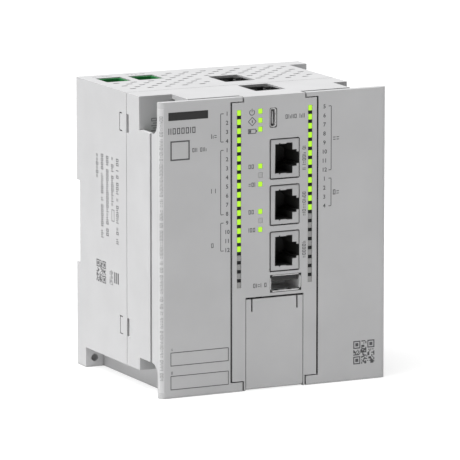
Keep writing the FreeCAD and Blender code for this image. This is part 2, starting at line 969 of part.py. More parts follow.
def cover_hinge_pin():
    axis = ("cover_axis_y", "cover_axis_z")
    span = service_span("(pin_overrun - 3 * running_gap)")
    return rod("cover_hinge_pin", "x", axis, "pin_radius", span)


# ---------------------------------------------------------------- indicators

def led_height_at(number):
    return f"led_first - {number} * led_pitch"


def light_guide(side):
    """A clear comb that carries each channel's light to the front."""
    x = ("led_left + led_clearance", "led_right - led_clearance")
    half = "led_height / 2"
    last = led_height_at(LED_COUNT - 1)
    pieces = [
        block(
            f"guide_spine_{side}",
            x,
            ("guide_finger_end", "guide_end"),
            (f"{last} - {half}", f"led_first + {half}"),
            side,
        )
    ]
    for number in range(LED_COUNT):
        centre = led_height_at(number)
        pieces.append(
            block(
                f"guide_finger_{side}_{number}",
                x,
                ("led_clearance", "guide_finger_end"),
                (f"{centre} - {half}", f"{centre} + {half}"),
                side,
            )
        )
    return join(f"light_guide_{side}", pieces)


def light_baffle(side):
    """A black comb whose bars keep the channels' light apart."""
    half = "(led_height / 2 + led_clearance)"
    last = led_height_at(LED_COUNT - 1)
    pieces = [
        block(
            f"baffle_spine_{side}",
            ("led_right + 2 * led_clearance", "baffle_spine_right"),
            ("wall + led_clearance", "baffle_depth"),
            (f"{last} - {half} - baffle_margin", f"led_first + {half} + baffle_margin"),
            side,
        )
    ]
    for number in range(LED_COUNT - 1):
        pieces.append(
            block(
                f"baffle_bar_{side}_{number}",
                ("led_left", "led_right - led_clearance"),
                ("2 * led_clearance", "baffle_depth"),
                (f"{led_height_at(number + 1)} + {half}", f"{led_height_at(number)} - {half}"),
                side,
            )
        )
        pieces.append(
            block(
                f"baffle_foot_{side}_{number}",
                ("led_right - led_clearance", "baffle_spine_right"),
                ("wall + led_clearance", "baffle_depth"),
                (f"{led_height_at(number + 1)} + {half}", f"{led_height_at(number)} - {half}"),
                side,
            )
        )
    return join(f"light_baffle_{side}", pieces)


def status_light_guide():
    x = ("status_left", "status_right")
    half = "status_height / 2"
    pieces = [
        block(
            "status_spine",
            x,
            ("status_finger_end", "status_guide_end"),
            (f"{STATUS_CENTRES[-1]} - {half}", f"{STATUS_CENTRES[0]} + {half}"),
        )
    ]
    for number, centre in enumerate(STATUS_CENTRES):
        pieces.append(
            block(
                f"status_finger_{number}",
                x,
                ("led_clearance", "status_finger_end"),
                (f"{centre} - {half}", f"{centre} + {half}"),
            )
        )
    return join("status_light_guide", pieces)


def channel_leds():
    x = ("led_left + fit_gap", "led_right - fit_gap")
    y = ("io_front - chip_height", "io_front")
    chips = []
    for side in BOTH_SIDES:
        for number in range(LED_COUNT):
            centre = led_height_at(number)
            z = (f"{centre} - chip_half", f"{centre} + chip_half")
            chips.append(block(f"led_chip_{side}_{number}", x, y, z, side))
    return group("channel_leds", chips)


def status_leds():
    x = ("status_left + fit_gap", "cpu_left")
    y = ("status_guide_end + fit_gap", "status_guide_end + fit_gap + status_chip_depth")
    chips = []
    for number, centre in enumerate(STATUS_CENTRES):
        z = (f"{centre} - chip_half", f"{centre} + chip_half")
        chips.append(block(f"status_chip_{number}", x, y, z))
    return group("status_leds", chips)


# ---------------------------------------------------------------- electronics

def cpu_board():
    x = ("cpu_left", CPU_RIGHT)
    return join(
        "cpu_board",
        [
            block("cpu_main", x, ("cpu_step_y", "cpu_rear"), ("cpu_low", "cpu_high")),
            block("cpu_nose", x, ("cpu_front", "cpu_step_y"), ("cpu_step_z", "cpu_high")),
        ],
    )


def io_board(side):
    x, y = ("io_left", "io_right"), ("io_front", IO_REAR)
    return block(f"io_board_{side}", x, y, ("io_low", "io_high"), side)


def power_board():
    y = ("power_front", "power_front + board_thickness")
    return block("power_board", ("io_left", "case_width - io_left"), y, ("power_low", "power_high"))


def board_connectors():
    behind_io = (IO_REAR, f"{IO_REAR} + connector_height")
    z = ("connector_low", "connector_high")
    return group(
        "board_connectors",
        [
            block("connector_io_left", ("connector_left", "cpu_left"), behind_io, z),
            block("connector_io_right", (CPU_RIGHT, "connector_right"), behind_io, z),
            block(
                "connector_power",
                (CPU_RIGHT, "power_connector_right"),
                ("power_connector_front", "power_front"),
                ("power_connector_low", "power_connector_high"),
            ),
        ],
    )


def processor_chips():
    board_faces = {
        "right": (CPU_RIGHT, f"{CPU_RIGHT} + package_height"),
        "left": ("cpu_left - package_height", "cpu_left"),
    }
    chips = [block(f"chip_{name}", board_faces[face], y, z) for name, (face, y, z) in CHIPS.items()]
    return group("processor_chips", chips)


def power_transformer():
    """A wound core: the winding between two end limbs of the core."""
    x = ("core_left", "core_right")
    core_back = "power_front - core_limb"
    limbs = ("core_front", core_back)
    return join(
        "power_transformer",
        [
            block("core_back", x, (core_back, "power_front"), ("core_low", "core_high")),
            block("core_limb_low", x, limbs, ("core_low", "core_low + core_limb")),
            block("core_limb_high", x, limbs, ("core_high - core_limb", "core_high")),
            block(
                "winding",
                ("core_left - winding_out", "core_right + winding_out"),
                ("core_front + winding_inset", core_back),
                ("core_low + core_limb", "core_high - core_limb"),
            ),
        ],
    )


def capacitors():
    span = ("capacitor_front", "power_front")
    cans = [
        rod(f"capacitor_{number}", "y", centre, "capacitor_radius", span)
        for number, centre in enumerate(CAPACITORS)
    ]
    return group("capacitors", cans)


# ---------------------------------------------------------------- sockets

def jack(name, facing, centre, depth):
    """A network jack: a shielded body with a stepped plug cavity and a latch slot."""
    def part_box(mark, x, deep, half):
        return jack_box(f"{name}_{mark}", x, deep, (f"-({half})", half), facing, centre)

    recess = JACK_RECESSES[facing]
    cavity = (recess, f"{recess} + cavity_depth")
    shoulder = ("cavity_right - shoulder_width", "cavity_right")
    body = join(
        f"{name}_body",
        [
            part_box("shell", ("jack_left", "jack_right"), (recess, depth), "jack_half"),
            part_box("foot", (CPU_RIGHT, "jack_left"), ("cpu_front", depth), "jack_half - jack_foot_inset"),
        ],
    )
    tools = [
        part_box("cavity", ("cavity_left", "cavity_right"), cavity, "cavity_half"),
        part_box("key", ("key_left", "key_right"), cavity, "cavity_half + key_depth"),
        part_box("shoulder", shoulder, cavity, "cavity_half + shoulder_depth"),
        part_box("step", ("cavity_right", "cavity_step_right"), cavity, "cavity_step_half"),
        part_box("latch", ("cavity_step_right", "latch_slot_right"), cavity, "latch_slot_half"),
    ]
    return cut(name, body, tools)


def all_jacks():
    jacks = [
        jack(f"ethernet_jack_{number}", "front", centre, "jack_depth")
        for number, centre in enumerate(JACK_CENTRES, start=1)
    ]
    for name, centre in TOP_JACK_CENTRES.items():
        jacks.append(jack(name, "top", centre, "top_jack_depth"))
    return jacks


def jack_contacts():
    """Eight contact strips along the board side of each jack's cavity."""
    strips = []
    places = [("front", centre) for centre in JACK_CENTRES]
    places += [("top", centre) for centre in TOP_JACK_CENTRES.values()]
    for facing, centre in places:
        recess = JACK_RECESSES[facing]
        for number in range(CONTACTS):
            middle = f"{number - (CONTACTS - 1) / 2} * contact_pitch"
            strips.append(
                jack_box(
                    f"contact_{facing}_{round(centre)}_{number}",
                    ("cavity_left", "cavity_left + contact_width"),
                    (f"{recess} + contact_inset", f"{recess} + cavity_depth"),
                    (f"{middle} - contact_width / 2", f"{middle} + contact_width / 2"),
                    facing,
                    centre,
                )
            )
    return group("jack_contacts", strips)


def usb_device_socket():
    """A folded steel shell with rounded corners, open at the front."""
    x = ("micro_left", "micro_right")
    z = ("micro_low", "micro_high")
    depth = ("micro_front", "micro_rear")
    foot_y = ("cpu_front + fit_gap", "micro_rear")
    foot_z = ("micro_low + micro_radius", "micro_high - micro_radius")
    shell = join(
        "micro_body",
        [
            rounded("micro_shell", block("micro_block", x, depth, z), "y", "micro_radius"),
            block("micro_foot", (CPU_RIGHT, "micro_left + socket_sheet"), foot_y, foot_z),
        ],
    )
    mouth = block(
        "micro_room",
        ("micro_left + socket_sheet", "micro_right - socket_sheet"),
        ("micro_front", "micro_rear - socket_sheet"),
        ("micro_low + socket_sheet", "micro_high - socket_sheet"),
    )
    cavity = rounded("micro_cavity", mouth, "y", "micro_inner_radius")
    return cut("usb_device_socket", shell, [cavity])


def usb_device_tongue():
    middle = "(micro_left + micro_right) / 2"
    return block(
        "usb_device_tongue",
        (f"{middle} - micro_tongue_half", f"{middle} + micro_tongue_half"),
        ("micro_tongue_front", "micro_rear - socket_sheet"),
        ("micro_low + micro_tongue_margin", "micro_high - micro_tongue_margin"),
    )


def usb_host_socket():
    """A folded steel shell with rounded corners and two spring windows in its floor."""
    depth = ("host_front", "host_depth")
    foot_x = (CPU_RIGHT, "host_left + socket_sheet")
    foot_z = ("host_low + host_radius", "host_high - host_radius")
    outer = block("host_block", ("host_left", "host_right"), depth, ("host_low", "host_high"))
    shell = join(
        "host_body",
        [
            rounded("host_shell", outer, "y", "host_radius"),
            block("host_foot", foot_x, ("host_foot_front", "host_depth"), foot_z),
        ],
    )
    room = block(
        "host_room",
        ("host_left + socket_sheet", "host_right - socket_sheet"),
        ("host_front", "host_depth - socket_sheet"),
        ("host_low + socket_sheet", "host_high - socket_sheet"),
    )
    tools = [rounded("host_cavity", room, "y", "host_inner_radius")]
    for side, sign in zip(BOTH_SIDES, "-+"):
        middle = f"(host_left + host_right) / 2 {sign} spring_window_offset"
        tools.append(
            block(
                f"host_spring_window_{side}",
                (f"{middle} - spring_window_half", f"{middle} + spring_window_half"),
                ("spring_window_front", "spring_window_rear"),
                ("host_low", "host_low + socket_sheet"),
            )
        )
    return cut("usb_host_socket", shell, tools)


def usb_host_tongue():
    return block(
        "usb_host_tongue",
        ("host_left + host_tongue_margin", "host_right - host_tongue_margin"),
        ("host_tongue_front", "host_depth - socket_sheet"),
        ("host_tongue_low", "host_tongue_high"),
    )


def green_socket(name):
    """A pin header that opens upwards through the top of the case."""
    left = GREEN_LEFTS[name]
    right = f"{left} + green_width"
    whole = (left, right)
    tail = (f"{left} + green_tail_inset", f"{right} - green_tail_inset")
    body = join(
        f"{name}_body",
        [
            block(f"{name}_shell", whole, ("green_front", "green_rear"), ("green_low", "green_high")),
            block(f"{name}_tail", tail, ("green_rear", "power_front"), ("green_low", "green_tail_high")),
        ],
    )
    mouth = block(
        f"{name}_cavity",
        (f"{left} + green_wall", f"{right} - green_wall"),
        ("green_front + green_wall", "green_rear - green_wall"),
        ("green_low + green_floor", "green_high"),
    )
    return cut(name, body, [mouth])


def socket_pins():
    y = ("green_pin_y - green_pin_half", "green_pin_y + green_pin_half")
    z = ("green_low + green_floor", "green_pin_top")
    pins = []
    for name, left in GREEN_LEFTS.items():
        for number in (-1, 0, 1):
            centre = f"({left} + green_width / 2 + {number} * terminal_pitch)"
            x = (f"{centre} - green_pin_half", f"{centre} + green_pin_half")
            pins.append(block(f"pin_{name}_{number + 1}", x, y, z))
    return group("socket_pins", pins)


def terminal_span(number, inset="0"):
    low = f"terminal_low + {number} * terminal_step"
    return (f"{low} + {inset}", f"{low} + terminal_length - {inset}")


def terminal_headers(side):
    """Two pin headers that stand on the board and pass through the bay's floor."""
    x = ("header_left", "header_right")
    bodies = [
        block(f"header_{side}_{number}", x, ("header_front", "io_front"), terminal_span(number), side)
        for number in range(2)
    ]
    return group(f"terminal_header_{side}", bodies)


def pole_centre(number, pole):
    first = f"terminal_low + {number} * terminal_step + terminal_length / 2"
    return f"({first} + {pole - (POLES - 1) / 2} * terminal_pitch)"


def terminal_plugs(side):
    """Two pluggable screw-terminal blocks, with a wire entry and a screw hole for each pole."""
    x, y = ("plug_left", "plug_right"), ("plug_front", "plug_rear")
    plugs = []
    for number in range(2):
        body = block(f"plug_body_{side}_{number}", x, y, terminal_span(number), side)
        tools = []
        for pole in range(POLES):
            centre = pole_centre(number, pole)
            tools.append(
                block(
                    f"wire_entry_{side}_{number}_{pole}",
                    ("plug_left", "plug_left + wire_entry_depth"),
                    ("wire_entry_front", "wire_entry_rear"),
                    (f"{centre} - wire_entry_half", f"{centre} + wire_entry_half"),
                    side,
                )
            )
            tools.append(
                rod(
                    f"driver_hole_{side}_{number}_{pole}",
                    "y",
                    ("screw_x", centre),
                    "screw_radius + fit_gap",
                    ("plug_front", "plug_front + driver_hole_depth"),
                    side,
                )
            )
        plugs.append(cut(f"plug_{side}_{number}", body, tools))
    return group(f"terminal_plug_{side}", plugs)


def terminal_screws(side):
    """Slotted clamping screws, seated at the bottom of their holes."""
    screw_top = "plug_front + screw_sink"
    y = (screw_top, "plug_front + driver_hole_depth")
    screws = []
    for number in range(2):
        for pole in range(POLES):
            centre = pole_centre(number, pole)
            mark = f"{side}_{number}_{pole}"
            head = rod(f"screw_head_{mark}", "y", ("screw_x", centre), "screw_radius", y, side)
            slot = block(
                f"screw_slot_{mark}",
                ("screw_x - screw_radius", "screw_x + screw_radius"),
                (screw_top, f"{screw_top} + screw_slot_depth"),
                (f"{centre} - screw_slot_half", f"{centre} + screw_slot_half"),
                side,
            )
            screws.append(cut(f"screw_{mark}", head, [slot]))
    return group(f"terminal_screws_{side}", screws)


def wire_clamps(side):
    """The metal jaws at the inner end of each wire entry."""
    x = ("plug_left + clamp_inset", "plug_left + wire_entry_depth")
    y = ("wire_entry_front + fit_gap", "wire_entry_rear - fit_gap")
    clamps = []
    for number in range(2):
        for pole in range(POLES):
            centre = pole_centre(number, pole)
            z = (f"{centre} - clamp_half", f"{centre} + clamp_half")
            clamps.append(block(f"clamp_{side}_{number}_{pole}", x, y, z, side))
    return group(f"wire_clamps_{side}", clamps)


# ---------------------------------------------------------------- behind the service cover

def bay_depth(front, rear=None):
    """A span measured forwards from the service bay's floor."""
    return (f"service_floor - {front}", f"service_floor - {rear}" if rear else "service_floor")


def battery_holder():
    centre = ("cell_x", "cell_z")
    well_depth = bay_depth("cell_front", "cell_back")
    tray = rod("battery_tray", "y", centre, "tray_radius", bay_depth("cell_front"))
    well = rod("battery_well", "y", centre, "well_radius", well_depth)
    notch = block(
        "battery_notch",
        ("cell_x - finger_notch_half", "cell_x + finger_notch_half"),
        well_depth,
        ("finger_notch_low", "finger_notch_high"),
    )
    return cut("battery_holder", tray, [well, notch])


def coin_cell():
    span = bay_depth("cell_front", "cell_back")
    return rod("coin_cell", "y", ("cell_x", "cell_z"), "cell_radius", span)


def battery_clip():
    """A spring strap across the cell."""
    z = ("cell_z - clip_half", "cell_z + clip_half")
    over_cell = "(cell_front + clip_sheet)"
    return join(
        "battery_clip",
        [
            block("clip_strap", ("cell_x", "clip_right"), bay_depth(over_cell, "cell_front"), z),
            block("clip_leg", ("clip_right - clip_sheet", "clip_right"), bay_depth(over_cell), z),
        ],
    )


def card_slot():
    """The memory card's metal sleeve on the board."""
    room_x = ("card_left - card_play", "card_right + card_play")
    room_z = ("card_low - card_play", "card_high + card_play")
    shell = block(
        "card_shell",
        (CPU_RIGHT, f"{room_x[1]} + sleeve_wall"),
        ("sleeve_front", "sleeve_rear"),
        (f"{room_z[0]} - sleeve_wall", f"{room_z[1]} + sleeve_wall"),
    )
    room = block("card_room", room_x, ("sleeve_front", "sleeve_rear - card_gap"), room_z)
    return cut("card_slot", shell, [room])


def memory_card():
    x = ("card_left", "card_right")
    card = block("card_body", x, ("card_front", "card_rear"), ("card_low", "card_high"))
    corner = block(
        "card_cut_corner",
        x,
        ("card_rear - card_corner", "card_rear"),
        ("card_high - card_corner", "card_high"),
    )
    return cut("memory_card", card, [corner])


def run_stop_switch():
    base = block(
        "switch_base",
        ("switch_left", "switch_right"),
        bay_depth("switch_depth"),
        ("switch_low", "switch_high"),
    )
    slot = block(
        "switch_slot",
        ("switch_left + switch_wall", "switch_right - switch_wall"),
        bay_depth("switch_depth", "switch_floor"),
        ("switch_low + switch_wall", "switch_high - switch_wall"),
    )
    return cut("run_stop_switch", base, [slot])


def run_stop_lever():
    """A foot that slides in the switch's slot, with a nib for a fingertip."""
    inset = "(switch_wall + fit_gap)"
    x = (f"switch_left + {inset}", f"switch_right - {inset}")
    foot_z = ("lever_low", f"switch_high - {inset}")
    foot = block("lever_foot", x, bay_depth("switch_depth", "(switch_floor + running_gap)"), foot_z)
    nib = block("lever_nib", x, bay_depth("nib_reach", "switch_depth"), ("nib_low", "nib_high"))
    return join("run_stop_lever", [foot, nib])


def reset_switch():
    base = block(
        "reset_base",
        ("reset_x - reset_half", "reset_x + reset_half"),
        bay_depth("switch_depth"),
        ("reset_z - reset_half", "reset_z + reset_half"),
    )
    span = bay_depth("switch_depth", "reset_floor")
    bore = rod("reset_bore", "y", ("reset_x", "reset_z"), "reset_bore_radius", span)
    return cut("reset_switch", base, [bore])


def reset_button():
    radius = "reset_bore_radius - 2 * running_gap"
    span = bay_depth("reset_button_front", "reset_button_rear")
    return rod("reset_button", "y", ("reset_x", "reset_z"), radius, span)


# ---------------------------------------------------------------- DIN-rail latches

def rail_latch(side):
    """A sliding foot with a lip behind the rail, a spring window and a pry slot."""
    wide = ("latch_x - latch_half", "latch_x + latch_half")
    nose = ("latch_x - latch_nose_half", "latch_x + latch_nose_half")
    window = ("latch_x - spring_half - fit_gap", "latch_x + spring_half + fit_gap")
    pry = ("latch_x - latch_pry_half", "latch_x + latch_pry_half")
    whole = ("latch_front", "latch_rear")
    z = ("latch_low", "latch_high")
    lip_z = ("latch_high - latch_lip_root", "latch_lip_high")
    window_z = ("spring_seat_low - 2 * fit_gap", "spring_high")
    body = join(
        f"latch_body_{side}",
        [
            block(f"latch_wide_{side}", wide, ("latch_front", "latch_step_y"), z, side),
            block(f"latch_nose_{side}", nose, ("latch_step_y", "latch_rear"), z, side),
            block(f"latch_lip_{side}", nose, ("rail_hook_front", "latch_rear"), lip_z, side),
        ],
    )
    tools = [
        block(f"latch_window_{side}", window, whole, window_z, side),
        block(f"latch_pry_{side}", pry, whole, ("latch_pry_low", "latch_pry_high"), side),
    ]
    return cut(f"rail_latch_{side}", body, tools)


def latch_spring(side):
    """A folded strip spring between the case's post and the top of the latch's window."""
    left = "latch_x - spring_half"
    right = "latch_x + spring_half"
    bends = ((f"{right} - spring_strand", right), (left, f"{left} + spring_strand"))
    pitch = f"((spring_high - spring_low - spring_strand) / {SPRING_FOLDS})"
    y = ("latch_front + latch_gap", "latch_front + latch_gap + spring_width")
    strands = []
    for number in range(SPRING_FOLDS + 1):
        low = f"spring_low + {number} * {pitch}"
        strand_z = (low, f"{low} + spring_strand")
        strands.append(block(f"strand_{side}_{number}", (left, right), y, strand_z, side))
        if number < SPRING_FOLDS:
            bend_z = (low, f"{low} + {pitch}")
            strands.append(block(f"bend_{side}_{number}", bends[number % 2], y, bend_z, side))
    return join(f"latch_spring_{side}", strands)


# ---------------------------------------------------------------- the whole controller

def sub_parts():
    """Every separate piece, keyed by the name of its node."""
    pieces = {
        "front_case": front_case(),
        "rear_case": rear_case(),
        "door_hinge_pins": door_hinge_pins(),
        "service_cover": service_cover(),
        "cover_hinge_pin": cover_hinge_pin(),
        "status_light_guide": status_light_guide(),
        "channel_leds": channel_leds(),
        "status_leds": status_leds(),
        "cpu_board": cpu_board(),
        "power_board": power_board(),
        "board_connectors": board_connectors(),
        "processor_chips": processor_chips(),
        "power_transformer": power_transformer(),
        "capacitors": capacitors(),
        "jack_contacts": jack_contacts(),
        "usb_device_socket": usb_device_socket(),
        "usb_device_tongue": usb_device_tongue(),
        "usb_host_socket": usb_host_socket(),
        "usb_host_tongue": usb_host_tongue(),
        "socket_pins": socket_pins(),
        "battery_holder": battery_holder(),
        "coin_cell": coin_cell(),
        "battery_clip": battery_clip(),
        "card_slot": card_slot(),
        "memory_card": memory_card(),
        "run_stop_switch": run_stop_switch(),
        "run_stop_lever": run_stop_lever(),
        "reset_switch": reset_switch(),
        "reset_button": reset_button(),
    }
    for piece in all_jacks():
        pieces[piece.Name] = piece
    for name in GREEN_LEFTS:
        pieces[name] = green_socket(name)
    for side in BOTH_SIDES:
        pieces[f"{side}_door"] = door(side)
        pieces[f"light_guide_{side}"] = light_guide(side)
        pieces[f"light_baffle_{side}"] = light_baffle(side)
        pieces[f"io_board_{side}"] = io_board(side)
        pieces[f"terminal_header_{side}"] = terminal_headers(side)
        pieces[f"terminal_plug_{side}"] = terminal_plugs(side)
        pieces[f"terminal_screws_{side}"] = terminal_screws(side)
        pieces[f"wire_clamps_{side}"] = wire_clamps(side)
        pieces[f"rail_latch_{side}"] = rail_latch(side)
        pieces[f"latch_spring_{side}"] = latch_spring(side)
    return pieces


def check_and_export(pieces):
    doc.recompute()
    for feature in doc.Objects:
        if "Invalid" in feature.State or "Error" in feature.State:
            raise RuntimeError(f"{feature.Name} failed: {feature.State}")
    os.makedirs("parts", exist_ok=True)
    for name, piece in pieces.items():
        piece.Label = name
        shape = piece.Shape
        if shape.isNull() or not shape.isValid() or not shape.Solids:
            raise RuntimeError(f"{name} has no valid solid")
        shape.exportStep(os.path.join("parts", f"{piece.Label}.step"))
        print(f"{name}: {len(shape.Solids)} solid(s), {shape.Volume:.0f} mm3")


check_and_export(sub_parts())
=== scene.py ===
import json
import math
import random

import bmesh
import bpy
from mathutils import Matrix, Vector


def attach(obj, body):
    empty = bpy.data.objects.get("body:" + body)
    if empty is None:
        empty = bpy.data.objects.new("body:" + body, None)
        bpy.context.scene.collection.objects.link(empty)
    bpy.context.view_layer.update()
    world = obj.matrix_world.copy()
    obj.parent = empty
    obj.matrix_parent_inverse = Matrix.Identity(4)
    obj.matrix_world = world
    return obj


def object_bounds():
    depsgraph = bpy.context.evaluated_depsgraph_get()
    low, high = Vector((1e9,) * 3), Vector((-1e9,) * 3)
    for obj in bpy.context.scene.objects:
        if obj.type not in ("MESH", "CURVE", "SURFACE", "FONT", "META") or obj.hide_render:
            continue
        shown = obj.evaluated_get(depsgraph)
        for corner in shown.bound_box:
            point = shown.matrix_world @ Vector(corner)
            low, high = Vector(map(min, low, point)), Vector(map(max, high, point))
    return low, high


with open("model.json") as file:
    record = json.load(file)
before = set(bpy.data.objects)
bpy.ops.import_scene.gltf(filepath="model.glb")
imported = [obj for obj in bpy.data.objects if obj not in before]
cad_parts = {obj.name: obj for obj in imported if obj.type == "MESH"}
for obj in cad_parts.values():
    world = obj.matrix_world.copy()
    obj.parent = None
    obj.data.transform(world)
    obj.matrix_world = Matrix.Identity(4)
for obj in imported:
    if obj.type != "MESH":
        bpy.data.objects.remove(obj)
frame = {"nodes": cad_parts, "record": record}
CAD_LOW, CAD_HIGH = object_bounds()

MM = 0.001
CASE_WIDTH = (CAD_HIGH.x - CAD_LOW.x) / MM
CASE_HEIGHT = (CAD_HIGH.z - CAD_LOW.z) / MM

# The studio, in metres and degrees. KEY_TOWARDS points from the case to the light.
CAMERA_TARGET = (-0.0041, -0.0077, 0.0621)
CAMERA_AZIMUTH, CAMERA_ELEVATION, CAMERA_DISTANCE = 26.09, 10.07, 2.2
CAMERA_SENSOR, CAMERA_LENS = 36.0, 408.65
CAMERA_NEAR, CAMERA_FAR = 0.05, 20.0
KEY_TOWARDS, KEY_STRENGTH, KEY_ANGLE = (-0.37, 0.09, 0.92), 5.2, 60.0
SKY_COLOUR, SKY_STRENGTH = (1.0, 1.0, 1.0, 1.0), 0.18
FLOOR_HALF = 6.0

# Places on the case, in mm from its left side, front face and underside.
LED_LEFT, LED_RIGHT = 35.15, 36.9
LED_FIRST, LED_PITCH, LED_COUNT = 117.5, 3.81, 20
LIT = {"left": 16, "right": 12}
STATUS_LEFT, STATUS_RIGHT = 44.9, 46.8
STATUS_LIT = (117.6, 113.8, 110.05, 94.6, 87.0, 75.5, 67.9)
STATUS_DARK = (90.8, 71.7)
SYMBOL_COUNT = 3
JACK_CENTRES = (97.0, 77.5, 58.0)
TOP_JACK_CENTRES = {"front": 21.55, "rear": 50.2}
JACK_RECESS, TOP_JACK_RECESS = 0.25, 1.6


def spot(x, y, z):
    """A point on the case as the frame's coordinates, in metres."""
    return CAD_LOW + Vector((x, y, z)) * MM


# ---------------------------------------------------------------- camera, lights and floor

def make_camera():
    """A long lens, a little above and to the left of the case's front."""
    azimuth, elevation = math.radians(CAMERA_AZIMUTH), math.radians(CAMERA_ELEVATION)
    back = Vector(
        (
            -math.sin(azimuth) * math.cos(elevation),
            -math.cos(azimuth) * math.cos(elevation),
            math.sin(elevation),
        )
    )
    data = bpy.data.cameras.new("camera")
    data.sensor_width = CAMERA_SENSOR
    data.lens = CAMERA_LENS
    data.clip_start = CAMERA_NEAR
    data.clip_end = CAMERA_FAR
    camera = bpy.data.objects.new("camera", data)
    camera.location = Vector(CAMERA_TARGET) + back * CAMERA_DISTANCE
    camera.rotation_mode = "QUATERNION"
    camera.rotation_quaternion = (-back).to_track_quat("-Z", "Y")
    bpy.context.scene.collection.objects.link(camera)
    bpy.context.scene.camera = camera


def make_key_light():
    """One soft distant light, above the case and a little to its left."""
    data = bpy.data.lights.new("key", "SUN")
    data.energy = KEY_STRENGTH
    data.angle = math.radians(KEY_ANGLE)
    lamp = bpy.data.objects.new("key", data)
    lamp.rotation_mode = "QUATERNION"
    lamp.rotation_quaternion = Vector(KEY_TOWARDS).to_track_quat("Z", "Y")
    lamp.location = Vector(KEY_TOWARDS)
    bpy.context.scene.collection.objects.link(lamp)


def make_studio():
    world = bpy.data.worlds.new("studio")
    world.use_nodes = True
    sky = world.node_tree.nodes["Background"]
    sky.inputs["Color"].default_value = SKY_COLOUR
    sky.inputs["Strength"].default_value = SKY_STRENGTH
    scene = bpy.context.scene
    scene.world = world
    scene.view_settings.view_transform = "Standard"
    make_key_light()


def make_floor():
    mesh = bpy.data.meshes.new("floor")
    half = FLOOR_HALF
    corners = [(-half, -half, 0), (half, -half, 0), (half, half, 0), (-half, half, 0)]
    mesh.from_pydata([Vector(c) + Vector((0, 0, CAD_LOW.z)) for c in corners], [], [(0, 1, 2, 3)])
    floor = bpy.data.objects.new("floor", mesh)
    floor.data.materials.append(plain_floor())
    bpy.context.scene.collection.objects.link(floor)


# ---------------------------------------------------------------- materials

BEVEL_SAMPLES, OPENNESS_SAMPLES = 4, 4
NOISE_LOW, NOISE_HIGH = 0.3, 0.7

# How a surface varies. Sizes in metres; the rest are shares of a colour or a pattern's values.
MOTTLE_SIZE, MOTTLE_DETAIL = 0.018, 3.0
MOTTLE_DARK, MOTTLE_LIGHT = 0.97, 1.03
# Edges within this radius are shaded as rounded, and their colour is painted lighter as a painted
# highlight.
ROUNDED_EDGE_RADIUS = 0.25 * MM
EDGE_HIGHLIGHT_SHARE, EDGE_HIGHLIGHT_FROM, EDGE_HIGHLIGHT_TO = 0.5, 0.75, 0.97
# Crevice colour is painted darker where ambient occlusion finds the surface closed in within this
# reach: painted shade.
CREVICE_REACH = 2.2 * MM
CREVICE_SHUT, CREVICE_OPEN = 0.18, 0.45
SMOOTHER, ROUGHER = 0.05, 0.07

LENS_PATCH, LENS_DIM = 0.0012, 0.94
LENS_BASE = (0.05, 0.1, 0.01, 1.0)
LENS_ROUGHNESS = (0.3, 0.4)
LENS_GLOW, LENS_GLOW_STRENGTH = (0.49, 0.96, 0.008), 0.95

TRACE_SCALE, TRACE_GAP, TRACE_DEPTH = 260.0, 0.09, 0.02 * MM
SOLDER_MASK, TRACE_COLOUR = (0.008, 0.085, 0.03), (0.02, 0.17, 0.06)
MASK_PATCH, MASK_ROUGHNESS = 0.003, (0.25, 0.4)

PAPER_PATCH, PAPER_DARK, PAPER_LIGHT = 0.4, (0.26, 0.26, 0.26), (0.29, 0.29, 0.29)
PAPER_GLOW, PAPER_ROUGHNESS = 2.7, 0.9
PAPER_GRAIN, PAPER_DEPTH = 0.002, 0.02 * MM


